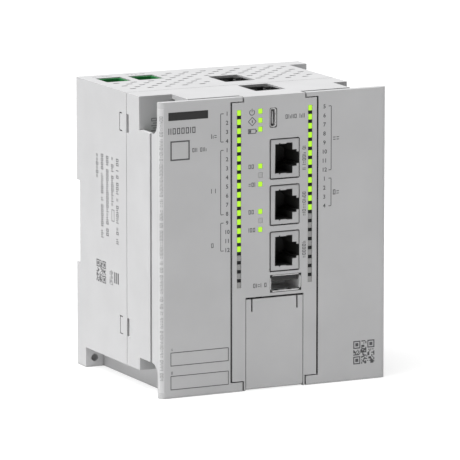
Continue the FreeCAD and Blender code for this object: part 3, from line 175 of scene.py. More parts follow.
class Nodes:
    """A material's node tree with short ways to add and join nodes."""

    def __init__(self, name):
        self.material = bpy.data.materials.new(name)
        self.material.use_nodes = True
        self.tree = self.material.node_tree
        self.shader = self.tree.nodes["Principled BSDF"]

    def add(self, kind, **settings):
        node = self.tree.nodes.new(kind)
        for key, value in settings.items():
            setattr(node, key, value)
        return node

    def join(self, output, entry):
        self.tree.links.new(output, entry)

    def set(self, entry, value):
        """Give one of the shader's inputs a fixed value."""
        self.shader.inputs[entry].default_value = value

    def feed(self, entry, output):
        """Drive one of the shader's inputs from another node."""
        self.join(output, self.shader.inputs[entry])

    def noise(self, size, detail=2.0):
        """Noise whose features are about size metres across, fixed to the object."""
        place = self.add("ShaderNodeTexCoord")
        node = self.add("ShaderNodeTexNoise")
        node.inputs["Scale"].default_value = 1.0 / size
        node.inputs["Detail"].default_value = detail
        self.join(place.outputs["Object"], node.inputs["Vector"])
        return node.outputs["Fac"]

    def spread(self, value, low, high, from_low=NOISE_LOW, from_high=NOISE_HIGH):
        """Stretch a value's range onto low to high."""
        node = self.add("ShaderNodeMapRange")
        node.inputs["From Min"].default_value = from_low
        node.inputs["From Max"].default_value = from_high
        node.inputs["To Min"].default_value = low
        node.inputs["To Max"].default_value = high
        self.join(value, node.inputs["Value"])
        return node.outputs["Result"]

    def mix(self, factor, first, second):
        """Blend two colours; each may be a colour or another node's output."""
        node = self.add("ShaderNodeMix", data_type="RGBA")
        self.join(factor, node.inputs["Factor"])
        entries = [entry for entry in node.inputs if entry.type == "RGBA"]
        for entry, colour in zip(entries, (first, second)):
            if isinstance(colour, bpy.types.NodeSocket):
                self.join(colour, entry)
            else:
                entry.default_value = (*colour, 1.0)
        return next(out for out in node.outputs if out.type == "RGBA")

    def bump(self, height, depth, under=None):
        """Raise the surface by a height pattern, on top of another normal if one is given."""
        node = self.add("ShaderNodeBump")
        node.inputs["Distance"].default_value = depth
        self.join(height, node.inputs["Height"])
        if under:
            self.join(under, node.inputs["Normal"])
        self.feed("Normal", node.outputs["Normal"])

    def rounded_normal(self, radius):
        """The normal the surface would have if its edges were rounded by radius metres."""
        node = self.add("ShaderNodeBevel", samples=BEVEL_SAMPLES)
        node.inputs["Radius"].default_value = radius
        return node.outputs["Normal"]

    def facing(self, first, second):
        """How closely two directions agree."""
        node = self.add("ShaderNodeVectorMath", operation="DOT_PRODUCT")
        self.join(first, node.inputs[0])
        self.join(second, node.inputs[1])
        return node.outputs["Value"]

    def openness(self, reach):
        """How open the surface is to its surroundings within reach metres."""
        node = self.add("ShaderNodeAmbientOcclusion", samples=OPENNESS_SAMPLES)
        node.inputs["Distance"].default_value = reach
        return node.outputs["AO"]


def scaled(colour, factor):
    return tuple(min(1.0, channel * factor) for channel in colour)


def surface(
    name, colour, roughness, metallic=0.0, grain=0.4, depth=0.012, edge_highlight=1.25, crevice=0.5, shine=0.5
):
    """A moulded or metal surface: fine grain, faint mottling, a painted highlight on its edges and
    painted shade in its crevices. grain and depth are in mm; the edge and crevice factors scale the
    colour on edges and in crevices."""
    nodes = Nodes(name)
    mottle = nodes.spread(nodes.noise(MOTTLE_SIZE, MOTTLE_DETAIL), 0.0, 1.0)
    fine = nodes.noise(grain * MM)
    base = nodes.mix(mottle, scaled(colour, MOTTLE_DARK), scaled(colour, MOTTLE_LIGHT))
    soft = nodes.rounded_normal(ROUNDED_EDGE_RADIUS)
    flat = nodes.add("ShaderNodeNewGeometry").outputs["Normal"]
    # Painted highlight: the colour is lighter where the rounded normal leans away from the flat
    # one, along edges.
    edge_highlight_mask = nodes.spread(nodes.facing(soft, flat), EDGE_HIGHLIGHT_SHARE, 0.0, EDGE_HIGHLIGHT_FROM, EDGE_HIGHLIGHT_TO)
    highlighted = nodes.mix(edge_highlight_mask, base, scaled(colour, edge_highlight))
    # Painted shade: the colour is darker in crevices, gaps and slots, where ambient occlusion finds
    # the surface closed in.
    crevice_shade_mask = nodes.spread(nodes.openness(CREVICE_REACH), 1.0, 0.0, CREVICE_SHUT, CREVICE_OPEN)
    nodes.feed("Base Color", nodes.mix(crevice_shade_mask, highlighted, scaled(colour, crevice)))
    nodes.feed("Roughness", nodes.spread(fine, roughness - SMOOTHER, roughness + ROUGHER))
    nodes.set("Metallic", metallic)
    nodes.set("Specular IOR Level", shine)
    nodes.bump(fine, depth * MM, under=soft)
    return nodes.material


def glowing(name, colour, strength):
    """A lit indicator lens, a little uneven across its face."""
    nodes = Nodes(name)
    patch = nodes.spread(nodes.noise(LENS_PATCH), 0.0, 1.0)
    nodes.feed("Emission Color", nodes.mix(patch, scaled(colour, LENS_DIM), colour))
    nodes.set("Base Color", LENS_BASE)
    nodes.set("Emission Strength", strength)
    nodes.feed("Roughness", nodes.spread(patch, *LENS_ROUGHNESS, 0.0, 1.0))
    return nodes.material


def circuit_board(name):
    """Solder mask with faint copper traces under it."""
    nodes = Nodes(name)
    place = nodes.add("ShaderNodeTexCoord")
    traces = nodes.add("ShaderNodeTexBrick")
    traces.inputs["Scale"].default_value = TRACE_SCALE
    traces.inputs["Mortar Size"].default_value = TRACE_GAP
    nodes.join(place.outputs["Object"], traces.inputs["Vector"])
    nodes.feed("Base Color", nodes.mix(traces.outputs["Fac"], SOLDER_MASK, TRACE_COLOUR))
    nodes.feed("Roughness", nodes.spread(nodes.noise(MASK_PATCH), *MASK_ROUGHNESS))
    nodes.bump(traces.outputs["Fac"], TRACE_DEPTH)
    return nodes.material


def plain_floor():
    """Pale paper that glows faintly, so that the case stands on a near-white ground."""
    nodes = Nodes("floor_paper")
    patch = nodes.spread(nodes.noise(PAPER_PATCH), 0.0, 1.0)
    shade = nodes.mix(patch, PAPER_DARK, PAPER_LIGHT)
    nodes.feed("Base Color", shade)
    nodes.feed("Emission Color", shade)
    nodes.set("Emission Strength", PAPER_GLOW)
    nodes.set("Roughness", PAPER_ROUGHNESS)
    nodes.bump(nodes.noise(PAPER_GRAIN), PAPER_DEPTH)
    return nodes.material


# Settings of surface() for each material. Those in PRINT and FINE_METAL are shared.
# In these settings crevice sets how dark the painted crevice shade goes, and the edge factor how
# light the painted edge highlight goes.
CASE_GREY = (0.50, 0.50, 0.505)
PRINT = {"grain": 0.2, "depth": 0.002, "edge_highlight": 1.0}
FINE_METAL = {"metallic": 1.0, "grain": 0.2}
SURFACES = {
    "case_plastic": {"colour": CASE_GREY, "roughness": 0.55, "crevice": 0.08},
    "door_plastic": {"colour": CASE_GREY, "roughness": 0.5, "depth": 0.008, "crevice": 0.08},
    "jack_shell": {
        "colour": (0.47, 0.47, 0.475), "roughness": 0.5,
        "grain": 0.25, "depth": 0.006, "crevice": 0.75,
    },
    "steel": {"colour": (0.62, 0.62, 0.61), "roughness": 0.3, "depth": 0.004, **FINE_METAL},
    "socket_steel": {
        "colour": (0.80, 0.80, 0.80), "roughness": 0.4, "metallic": 0.1,
        "grain": 0.2, "depth": 0.004, "crevice": 0.35,
    },
    "contact_metal": {
        "colour": (0.85, 0.62, 0.25), "roughness": 0.25, "depth": 0.003, **FINE_METAL,
    },
    "black_plastic": {
        "colour": (0.013, 0.013, 0.014), "roughness": 0.5,
        "grain": 0.3, "depth": 0.006, "shine": 0.2,
    },
    "jack_insert": {
        "colour": (0.022, 0.022, 0.022), "roughness": 0.6,
        "grain": 0.3, "depth": 0.004, "edge_highlight": 1.0, "crevice": 0.9,
    },
    "green_plastic": {
        "colour": (0.018, 0.20, 0.05), "roughness": 0.45,
        "grain": 0.3, "depth": 0.008, "crevice": 0.7,
    },
    "white_plastic": {
        "colour": (0.72, 0.72, 0.70), "roughness": 0.45, "grain": 0.3, "depth": 0.006,
    },
    "light_guide": {
        "colour": (0.42, 0.44, 0.42), "roughness": 0.25, "grain": 0.6, "depth": 0.004,
    },
    "dark_lens": {
        "colour": (0.29, 0.29, 0.285), "roughness": 0.3,
        "grain": 0.6, "depth": 0.004, "crevice": 0.8,
    },
    "clear_lens": {
        "colour": (0.43, 0.43, 0.43), "roughness": 0.3,
        "grain": 0.6, "depth": 0.004, "crevice": 0.9,
    },
    "led_chip": {"colour": (0.55, 0.62, 0.30), "roughness": 0.3, "grain": 0.3, "depth": 0.004},
    "cell_metal": {
        "colour": (0.66, 0.66, 0.65), "roughness": 0.28, "metallic": 1.0,
        "grain": 0.15, "depth": 0.003,
    },
    "transformer": {"colour": (0.05, 0.042, 0.03), "roughness": 0.5, "grain": 0.8, "depth": 0.03},
    "capacitor_sleeve": {
        "colour": (0.015, 0.02, 0.06), "roughness": 0.3, "grain": 0.3, "depth": 0.004,
    },
    "ink": {"colour": (0.085, 0.085, 0.088), "roughness": 0.6, **PRINT},
    "black_ink": {"colour": (0.014, 0.014, 0.014), "roughness": 0.6, **PRINT},
    "pale_ink": {"colour": (0.20, 0.20, 0.205), "roughness": 0.6, **PRINT},
    "pale_label": {"colour": (0.64, 0.64, 0.645), "roughness": 0.5, **PRINT},
    "faint_ink": {"colour": (0.32, 0.32, 0.325), "roughness": 0.6, **PRINT},
}
MATERIALS = {name: surface(name, **look) for name, look in SURFACES.items()}
MATERIALS["lit_lens"] = glowing("lit_lens", LENS_GLOW, LENS_GLOW_STRENGTH)
MATERIALS["circuit_board"] = circuit_board("circuit_board")


# ---------------------------------------------------------------- the CAD nodes' looks

# Bevels in mm, by slot. Edges shorter than LONG_EDGE bevels stay crisp.
BEVELS = {"case_plastic": 0.15, "door_plastic": 0.2, "green_plastic": 0.12, "jack_shell": 0.1}
FINE_BEVEL, BEVEL_SEGMENTS = 0.05, 2
LONG_EDGE = 20
SHARP_ANGLE, FLAT_ANGLE = math.radians(32.0), math.radians(0.5)
WELD = 0.001 * MM
CORNER_PLACES = 6
BRIGHT_NODES = ("usb_host_socket", "usb_device_socket")


def dress_cad_nodes():
    """Give every CAD node its slot's material and softly broken edges."""
    for entry in frame["record"]["subparts"]:
        node = frame["nodes"][entry["node"]]
        slot = entry["material_slot"]
        node.data.materials.clear()
        look = "socket_steel" if node.name in BRIGHT_NODES else slot
        node.data.materials.append(MATERIALS[look])
        soften(node, BEVELS.get(slot, FINE_BEVEL))


def edge_key(first, second):
    """An edge's two end points, rounded, in either order."""
    ends = (first, second)
    return frozenset(tuple(round(c, CORNER_PLACES) for c in point) for point in ends)


def sharp_edges(data):
    """The lengths of a mesh's sharp edges, found by their end points."""
    whole = bmesh.new()
    whole.from_mesh(data)
    bmesh.ops.remove_doubles(whole, verts=whole.verts, dist=WELD)
    found = {}
    for edge in whole.edges:
        if len(edge.link_faces) == 2 and edge.calc_face_angle() > SHARP_ANGLE:
            found[edge_key(*(vertex.co for vertex in edge.verts))] = edge.calc_length()
    whole.free()
    return found


def soften(piece, width):
    """Round a piece's long sharp edges by width mm, and leave its small slots and holes crisp."""
    data = piece.data
    lengths = sharp_edges(data)
    if "custom_normal" in data.attributes:
        data.attributes.remove(data.attributes["custom_normal"])
    data.shade_smooth()
    sharp = data.attributes.new("sharp_edge", "BOOLEAN", "EDGE")
    weights = data.attributes.new("bevel_weight_edge", "FLOAT", "EDGE")
    for edge in data.edges:
        ends = (data.vertices[number].co for number in edge.vertices)
        length = lengths.get(edge_key(*ends), 0.0)
        sharp.data[edge.index].value = length > 0.0
        weights.data[edge.index].value = 1.0 if length > LONG_EDGE * width * MM else 0.0
    weld = piece.modifiers.new("weld", "WELD")
    weld.merge_threshold = WELD
    flat = piece.modifiers.new("flat", "DECIMATE")
    flat.decimate_type = "DISSOLVE"
    flat.angle_limit = FLAT_ANGLE
    flat.delimit = {"SHARP"}
    bevel = piece.modifiers.new("bevel", "BEVEL")
    bevel.width = width * MM
    bevel.segments = BEVEL_SEGMENTS
    bevel.limit_method = "WEIGHT"
    bevel.harden_normals = True
    normals = piece.modifiers.new("normals", "WEIGHTED_NORMAL")
    normals.keep_sharp = True


# ---------------------------------------------------------------- mesh building

def finish_piece(name, mesh_data, material, body):
    """Make the piece's object, and say what it is made of and what it rides on."""
    mesh = bpy.data.meshes.new(name)
    bmesh.ops.recalc_face_normals(mesh_data, faces=mesh_data.faces)
    mesh_data.to_mesh(mesh)
    mesh_data.free()
    piece = bpy.data.objects.new(name, mesh)
    piece.data.materials.append(MATERIALS[material])
    bpy.context.scene.collection.objects.link(piece)
    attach(piece, body)


def finish_black_piece(name, mesh_data, body="controller"):
    finish_piece(name, mesh_data, "jack_insert", body)


class Face:
    """A flat face of the case. Places on it are (across, up) in mm; out points off the case."""

    def __init__(self, origin, across, up, out):
        self.origin = origin
        self.across, self.up, self.out = Vector(across), Vector(up), Vector(out)

    def point(self, u, v, proud):
        return self.origin + (self.across * u + self.up * v + self.out * proud) * MM

    def matrix(self, u, v, proud):
        turn = Matrix((self.across, self.up, self.across.cross(self.up))).transposed()
        return Matrix.Translation(self.point(u, v, proud)) @ turn.to_4x4()


class RoundedEdge:
    """The left door's rounded outer edge. Places on it are (round from the side, up) in mm."""

    def __init__(self, radius):
        self.radius = radius

    def point(self, u, v, proud):
        angle = u / self.radius
        reach = self.radius + proud
        x, y = self.radius - reach * math.cos(angle), self.radius - reach * math.sin(angle)
        return spot(x, y, v)


NOTCH_DEPTH = 20.35
DOOR_EDGE_RADIUS, DOOR_INNER_REACH = 2.5, 32.1

FRONT = Face(spot(0, 0, 0), (1, 0, 0), (0, 0, 1), (0, -1, 0))
LEFT_SIDE = Face(spot(0, 0, 0), (0, 1, 0), (0, 0, 1), (-1, 0, 0))
NOTCH_WALL = Face(spot(0, NOTCH_DEPTH, 0), (1, 0, 0), (0, 0, 1), (0, -1, 0))
TOP = Face(spot(0, 0, CASE_HEIGHT), (1, 0, 0), (0, 1, 0), (0, 0, 1))
DOOR_EDGE = RoundedEdge(DOOR_EDGE_RADIUS)
DOOR_INNER_EDGE = Face(
    spot(CASE_WIDTH - DOOR_INNER_REACH, 0, 0), (0, 1, 0), (0, 0, 1), (-1, 0, 0)
)

# Print, in mm: how far it stands proud, the usual line and the runs on a rounded edge.
INK_PROUD, INK_SUNK = 0.02, -0.02
LINE = 0.3
ROUNDED_RUN = 0.4


def slab(mesh, face, outline, proud=INK_PROUD, sunk=INK_SUNK):
    """A closed thin slab with a convex outline of (across, up) points."""
    low = [mesh.verts.new(face.point(u, v, sunk)) for u, v in outline]
    high = [mesh.verts.new(face.point(u, v, proud)) for u, v in outline]
    mesh.faces.new(low)
    mesh.faces.new(high)
    join_loops(mesh, low, high)


def join_loops(mesh, first, second):
    """Bridge two loops of the same number of points."""
    for number in range(len(first)):
        after = (number + 1) % len(first)
        mesh.faces.new((first[number], first[after], second[after], second[number]))


def rectangle(u_low, v_low, u_high, v_high):
    return [(u_low, v_low), (u_high, v_low), (u_high, v_high), (u_low, v_high)]


def bar(mesh, face, u_low, v_low, u_high, v_high, proud=INK_PROUD):
    """A printed rectangle, in short runs where the face is rounded."""
    runs = math.ceil((u_high - u_low) / ROUNDED_RUN) if face is DOOR_EDGE else 1
    step = (u_high - u_low) / runs
    for run in range(runs):
        low, high = u_low + run * step, u_low + (run + 1) * step
        slab(mesh, face, rectangle(low, v_low, high, v_high), proud)


def stroke(mesh, face, start, end, width=LINE):
    """A straight printed line."""
    start, end = Vector(start), Vector(end)
    along = end - start
    side = Vector((-along.y, along.x)).normalized() * width / 2
    corners = (start - side, end - side, end + side, start + side)
    slab(mesh, face, [tuple(corner) for corner in corners])


def outline_box(mesh, face, u_low, v_low, u_high, v_high, width=LINE):
    """A printed rectangle outline."""
    bar(mesh, face, u_low, v_low, u_high, v_low + width)
    bar(mesh, face, u_low, v_high - width, u_high, v_high)
    bar(mesh, face, u_low, v_low + width, u_low + width, v_high - width)
    bar(mesh, face, u_high - width, v_low + width, u_high, v_high - width)


def bracket(mesh, face, u_spine, u_arm, v_low, v_high):
    """A bracket that ties a group of channels together."""
    bar(mesh, face, u_spine - LINE / 2, v_low, u_spine + LINE / 2, v_high)
    arm_low, arm_high = sorted((u_spine, u_arm))
    bar(mesh, face, arm_low, v_high, arm_high, v_high + LINE)
    bar(mesh, face, arm_low, v_low - LINE, arm_high, v_low)


RING_STEPS = 24


def arc(mesh, face, u, v, radius, start, sweep):
    """A printed part of a ring, from start round through sweep degrees."""
    points = []
    for step in range(RING_STEPS + 1):
        angle = math.radians(start + sweep * step / RING_STEPS)
        points.append((u + radius * math.cos(angle), v + radius * math.sin(angle)))
    for first, second in zip(points, points[1:]):
        stroke(mesh, face, first, second)


# Sizes in a mark, as shares of its height.
MARK_LINE, MARK_WIDTH = 0.15, 0.55
PAIR_SHORT = 0.7
DASH_LOW, DASH_HIGH = 0.15, 0.6
MARK_GAP, WORD_GAP, WORD_CHANCE = 0.22, 0.8, 0.15
MARK_KINDS = ("frame", "frame", "pair", "dashes", "bar")
MARK_CHANCE = random.Random(7)


def mark(kind, height):
    """One meaningless printed mark, as its width and (along, up) rectangles."""
    line, wide = MARK_LINE * height, MARK_WIDTH * height
    if kind == "frame":
        return wide, [
            (0, 0, wide, line), (0, height - line, wide, height),
            (0, line, line, height - line), (wide - line, line, wide, height - line),
        ]
    if kind == "pair":
        return wide, [(0, 0, line, height), (wide - line, 0, wide, height * PAIR_SHORT)]
    if kind == "dashes":
        return wide, [
            (0, height * share, wide, height * share + line) for share in (DASH_LOW, DASH_HIGH)
        ]
    return line, [(0, 0, line, height)]


def illegible(mesh, face, u, v, length, height, upright=False):
    """A line of meaningless marks, in place of words. upright turns the line to run up the face."""
    done = 0.0
    while True:
        wide, pieces = mark(MARK_CHANCE.choice(MARK_KINDS), height)
        if done + wide > length:
            return
        for low, under, high, over in pieces:
            if upright:
                bar(mesh, face, u - over, v + done + low, u - under, v + done + high)
            else:
                bar(mesh, face, u + done + low, v + under, u + done + high, v + over)
        gap = WORD_GAP if MARK_CHANCE.random() < WORD_CHANCE else MARK_GAP
        done += wide + gap * height


DIGIT_SHARE, DIGIT_WEIGHT, DIGIT_CURVE = 0.73, 0.05 * MM, 3


def digits(mesh, face, text, u, v, height):
    """A channel number, centred on (u, v)."""
    data = bpy.data.curves.new("digits", "FONT")
    data.body = text
    data.size = height / DIGIT_SHARE * MM
    data.offset = DIGIT_WEIGHT
    data.extrude = (INK_PROUD - INK_SUNK) / 2 * MM
    data.align_x = "CENTER"
    data.align_y = "CENTER"
    data.resolution_u = DIGIT_CURVE
    holder = bpy.data.objects.new("digits", data)
    bpy.context.scene.collection.objects.link(holder)
    bpy.context.view_layer.update()
    made = bpy.data.meshes.new_from_object(holder)
    made.transform(face.matrix(u, v, (INK_PROUD + INK_SUNK) / 2))
    mesh.from_mesh(made)
    bpy.data.objects.remove(holder)
    bpy.data.curves.remove(data)
    bpy.data.meshes.remove(made)


CODE_CELLS, CODE_CORNER, CODE_FILLED = 21, 7, 0.5
CORNER_DOT_LOW, CORNER_DOT_HIGH = 2, 5
CELL_CHANCE = random.Random(21)


def in_code_corner(column, row):
    """Whether a cell is in, or next to, one of the code's three corner squares."""
    far = CODE_CELLS - CODE_CORNER - 1
    left, right, low, high = column <= CODE_CORNER, column >= far, row <= CODE_CORNER, row >= far
    return (left and (low or high)) or (right and high)


def code_block(mesh, face, u, v, size):
    """A made-up square of dark cells with three corner squares; it encodes nothing."""
    cell = size / CODE_CELLS
    for row in range(CODE_CELLS):
        for column in range(CODE_CELLS):
            if not in_code_corner(column, row) and CELL_CHANCE.random() < CODE_FILLED:
                low_u, low_v = u + column * cell, v + row * cell
                bar(mesh, face, low_u, low_v, low_u + cell, low_v + cell)
    square = CODE_CORNER * cell
    far = size - square
    dot_low, dot_high = CORNER_DOT_LOW * cell, CORNER_DOT_HIGH * cell
    for corner_u, corner_v in ((0, 0), (0, far), (far, far)):
        low_u, low_v = u + corner_u, v + corner_v
        outline_box(mesh, face, low_u, low_v, low_u + square, low_v + square, cell)
        bar(mesh, face, low_u + dot_low, low_v + dot_low, low_u + dot_high, low_v + dot_high)


# ---------------------------------------------------------------- indicator lenses

LENS_FRONT, LENS_BACK = 0.0, 0.7
CHANNEL_HALF, STATUS_HALF = 1.15, 1.05
LENS_RADIUS, LENS_SEGMENTS, ROUND_PROFILE = 0.14, 3, 0.5


def rounded_block(mesh, low, high):
    """A lens: a box with all its edges rounded, between two corners in mm."""
    made = bmesh.ops.create_cube(mesh, size=1.0)["verts"]
    low, high = spot(*low), spot(*high)
    middle, size = (low + high) / 2, high - low
    for vertex in made:
        vertex.co = Vector(c * s for c, s in zip(vertex.co, size)) + middle
    edges = {edge for vertex in made for edge in vertex.link_edges}
    bmesh.ops.bevel(
        mesh, geom=list(edges), offset=LENS_RADIUS * MM, segments=LENS_SEGMENTS,
        profile=ROUND_PROFILE, affect="EDGES",
    )


def lens_row(name, left, right, centres, half, material):
    """The lenses of one row that look the same; centres are their heights."""
    mesh = bmesh.new()
    for z in centres:
        rounded_block(mesh, (left, LENS_FRONT, z - half), (right, LENS_BACK, z + half))
    finish_piece(name, mesh, material, "controller")


def channel_lenses():
    centres = [LED_FIRST - number * LED_PITCH for number in range(LED_COUNT)]
    sides = {
        "left": (LED_LEFT, LED_RIGHT),
        "right": (CASE_WIDTH - LED_RIGHT, CASE_WIDTH - LED_LEFT),
    }
    for side, (left, right) in sides.items():
        lit, dark = centres[:LIT[side]], centres[LIT[side]:]
        lens_row(f"channel_lenses_lit_{side}", left, right, lit, CHANNEL_HALF, "lit_lens")
        lens_row(f"channel_lenses_dark_{side}", left, right, dark, CHANNEL_HALF, "dark_lens")


def status_lenses():
    for name, centres, material in (
        ("status_lenses_lit", STATUS_LIT, "lit_lens"),
        ("status_lenses_dark", STATUS_DARK, "clear_lens"),
    ):
        lens_row(name, STATUS_LEFT, STATUS_RIGHT, centres, STATUS_HALF, material)


# ---------------------------------------------------------------- jack cavities, lined in black as painted shade

# Half of a plug cavity's outline, from its board side to its latch side, as (across, up).
CAVITY_HALF = [
    (52.82, 6.13), (54.6, 6.13), (54.6, 6.53), (55.3, 6.53), (55.3, 6.13), (58.12, 6.13),
    (58.12, 6.43), (60.88, 6.43), (60.88, 3.48), (62.83, 3.48), (62.83, 2.48), (63.88, 2.48),
]
CAVITY_SHADE_WALL = 0.08
CAVITY_SHADE_FRONT, CAVITY_SHADE_FLOOR, CAVITY_SHADE_BACK = 0.05, 13.85, 13.95


def inset(outline, distance):
    """The outline moved inwards; its points run clockwise and its corners are square."""
    moved = []
    for number, point in enumerate(outline):
        before = Vector(point) - Vector(outline[number - 1])
        after = Vector(outline[(number + 1) % len(outline)]) - Vector(point)
        inward = Vector((0, 0))
        for run in (before, after):
            inward += Vector((run.y, -run.x)).normalized()
        moved.append(tuple(Vector(point) + inward * distance))
    return moved


def jack_insert(name, recess, placed):
    """Painted shade: a thin black cup that lines a jack's cavity so that it looks dark inside.
    placed turns (across, deep, up) into a point.
    """
    outside = CAVITY_HALF + [(u, -v) for u, v in reversed(CAVITY_HALF)]
    inside = inset(outside, CAVITY_SHADE_WALL)
    front, floor, back = recess + CAVITY_SHADE_FRONT, recess + CAVITY_SHADE_FLOOR, recess + CAVITY_SHADE_BACK
    mesh = bmesh.new()
    loops = [
        [mesh.verts.new(placed(u, deep, v)) for u, v in outline]
        for outline, deep in ((outside, back), (outside, front), (inside, front), (inside, floor))
    ]
    for first, second in zip(loops, loops[1:]):
        join_loops(mesh, first, second)
    mesh.faces.new(loops[0])
    mesh.faces.new(loops[-1])
    finish_black_piece(name, mesh)


def jack_inserts():
    for number, centre in enumerate(JACK_CENTRES, start=1):
        jack_insert(
            f"jack_insert_{number}", JACK_RECESS, lambda u, deep, v: spot(u, deep, centre + v)
        )
    for end, centre in TOP_JACK_CENTRES.items():
        jack_insert(
            f"top_jack_cavity_shade_{end}",
            TOP_JACK_RECESS,
            lambda u, deep, v: spot(u, centre + v, CASE_HEIGHT - deep),
        )


# ---------------------------------------------------------------- black pieces in sockets and gaps: painted shade, and the USB tongue's black tip

# Each painted gap shade's span across and up, and the size of its corners.
USB_GAP_SHADES = {
    "usb_device_gap_shade": ((50.1, 53.6), (110.3, 118.65), 1.15),
    "usb_host_gap_shade": ((50.4, 65.0), (40.8, 48.2), 1.6),
}
GAP_SHADE_FRONT, GAP_SHADE_BACK = 0.12, 1.8
GAP_SHADE_LIP = 0.22
TONGUE_TIP = (51.7, 45.5, 63.7, 47.35)
TONGUE_TIP_FRONT, TONGUE_TIP_BACK = 0.8, 1.35
RECESS_SHADE_TOP, RECESS_SHADE_UNDER = 0.75, 1.55
RECESS_SHADE_LEFT, RECESS_SHADE_RIGHT, RECESS_SHADE_HALF = 50.2, 64.15, 8.55
MOUTH_LEFT, MOUTH_RIGHT, MOUTH_HALF = 52.8, 63.9, 6.2
STEP_LEFT, STEP_HALF = 60.95, 3.55
LATCH_LEFT, LATCH_HALF = 62.9, 2.55
DOOR_GAP_SHADE = (0.4, 4.6, 2.1, 121.6)


def usb_seals():
    """Painted shade: a black frame that fills the gap between each socket's shell and the case."""
    for name, ((left, right), (low, high), corner) in USB_GAP_SHADES.items():
        mesh = bmesh.new()
        for outline in (
            rectangle(left, low, left + GAP_SHADE_LIP, high),
            rectangle(right - GAP_SHADE_LIP, low, right, high),
            rectangle(left, low, right, low + GAP_SHADE_LIP),
            rectangle(left, high - GAP_SHADE_LIP, right, high),
            [(left, low), (left + corner, low), (left, low + corner)],
            [(right - corner, low), (right, low), (right, low + corner)],
            [(right, high - corner), (right, high), (right - corner, high)],
            [(left + corner, high), (left, high), (left, high - corner)],
        ):
            slab(mesh, FRONT, outline, -GAP_SHADE_FRONT, -GAP_SHADE_BACK)
        finish_black_piece(name, mesh)


def usb_tongue_tip():
    """The black end of the USB host socket's tongue, in the upper part of its mouth."""
    mesh = bmesh.new()
    slab(mesh, FRONT, rectangle(*TONGUE_TIP), -TONGUE_TIP_FRONT, -TONGUE_TIP_BACK)
    finish_black_piece("usb_host_tongue_tip", mesh)


def top_jack_bezels():
    """Painted shade: a black frame over each top jack's face, round its stepped cavity, where the
    recess looks dark.
    """
    for end, centre in TOP_JACK_CENTRES.items():
        mesh = bmesh.new()
        low, high = centre - RECESS_SHADE_HALF, centre + RECESS_SHADE_HALF
        mouth_low, mouth_high = centre - MOUTH_HALF, centre + MOUTH_HALF
        step_low, step_high = centre - STEP_HALF, centre + STEP_HALF
        for box in (
            (RECESS_SHADE_LEFT, low, RECESS_SHADE_RIGHT, mouth_low),
            (RECESS_SHADE_LEFT, mouth_high, RECESS_SHADE_RIGHT, high),
            (RECESS_SHADE_LEFT, mouth_low, MOUTH_LEFT, mouth_high),
            (MOUTH_RIGHT, mouth_low, RECESS_SHADE_RIGHT, mouth_high),
            (STEP_LEFT, mouth_low, MOUTH_RIGHT, step_low),
            (STEP_LEFT, step_high, MOUTH_RIGHT, mouth_high),
            (LATCH_LEFT, step_low, MOUTH_RIGHT, centre - LATCH_HALF),
            (LATCH_LEFT, centre + LATCH_HALF, MOUTH_RIGHT, step_high),
        ):
            slab(mesh, TOP, rectangle(*box), -RECESS_SHADE_TOP, -RECESS_SHADE_UNDER)
        finish_black_piece(f"top_jack_recess_shade_{end}", mesh)


def door_seal():
    """Painted shade: a dark strip along the right door's edge, in the gap beside the centre block.
    """
    mesh = bmesh.new()
    bar(mesh, DOOR_INNER_EDGE, *DOOR_GAP_SHADE)
    finish_black_piece("right_door_gap_shade", mesh, "right_door")


# ---------------------------------------------------------------- print on the case

# Places and sizes in mm on the face they are printed on. Boxes are (left, low, right, high), lines
# of marks are (across, up, length, height) from where they start, and codes (across, up, size).
NUMBER_HEIGHT = 1.75
LEFT_NUMBERS, LEFT_NUMBERS_AT = (*range(1, 5), *range(1, 13)), 30.5
RIGHT_NUMBERS, RIGHT_NUMBERS_AT = (*range(5, 13), *range(1, 5)), 75.65
LEFT_GROUPS = {
    "groups": ((0, 3), (4, 11), (12, 15)), "spine": 27.55, "arm": 28.9,
    "mark_at": 23.2, "mark_drop": 4.2, "mark_size": (3.4, 1.9),
}
RIGHT_GROUPS = {
    "groups": ((0, 7), (8, 11)), "spine": 78.8, "arm": 77.6,
    "mark_at": 79.7, "mark_drop": 1.2, "mark_size": (3.8, 2.1),
}

FIELD_LEFT, FIELD_RIGHT, FIELD_HEIGHTS = 4.48, 31.22, ((13.55, 19.35), (3.5, 9.45))
CAPTION_LEFT, CAPTION_RISE, CAPTION_MARK = 4.8, 0.6, (1.7, 1.3)
MODEL_MARKS, EMBLEM_MARKS = (3.7, 110.6, 13.0, 2.6), (14.6, 102.6, 7.2, 1.7)
EMBLEM, EMBLEM_LINE = (4.6, 99.6, 13.4, 107.8), 0.6
BADGE = (3.7, 116.3, 21.8, 119.7)
EDGE_LABEL, EDGE_LABEL_PROUD = (0.5, 2.5, 3.1, 121.5), 0.01
EDGE_MARKS = (2.7, 7.7, 111.0, 1.5)
DOOR_CODE = (89.6, 6.75, 10.0)

POWER_ARC, POWER_LINE = (42.0, 117.3, 1.15, 125.0, 290.0), ((42.0, 117.4), (42.0, 118.9))
DIAMOND = [(42.1, 111.7), (43.9, 113.5), (42.1, 115.3), (40.3, 113.5)]
DIAMOND_DOT = (41.9, 112.9, 42.3, 114.1)
BATTERY_CASE = (40.1, 108.4, 43.9, 110.4)
BATTERY_LEVEL, BATTERY_TIP = (40.5, 108.8, 41.6, 110.0), (43.9, 109.0, 44.3, 109.8)
STATUS_MARKS_AT, STATUS_MARKS_DROP, STATUS_MARKS = 40.4, 0.9, (3.6, 1.8)
USB_MARKS = ((57.5, 113.6, 9.4, 1.8), (42.6, 43.4, 7.2, 1.8))
JACK_MARKS = ((67.0, 91.6, 10.2, 1.6), (67.0, 72.2, 11.2, 1.6), (67.0, 54.4, 7.8, 1.6))

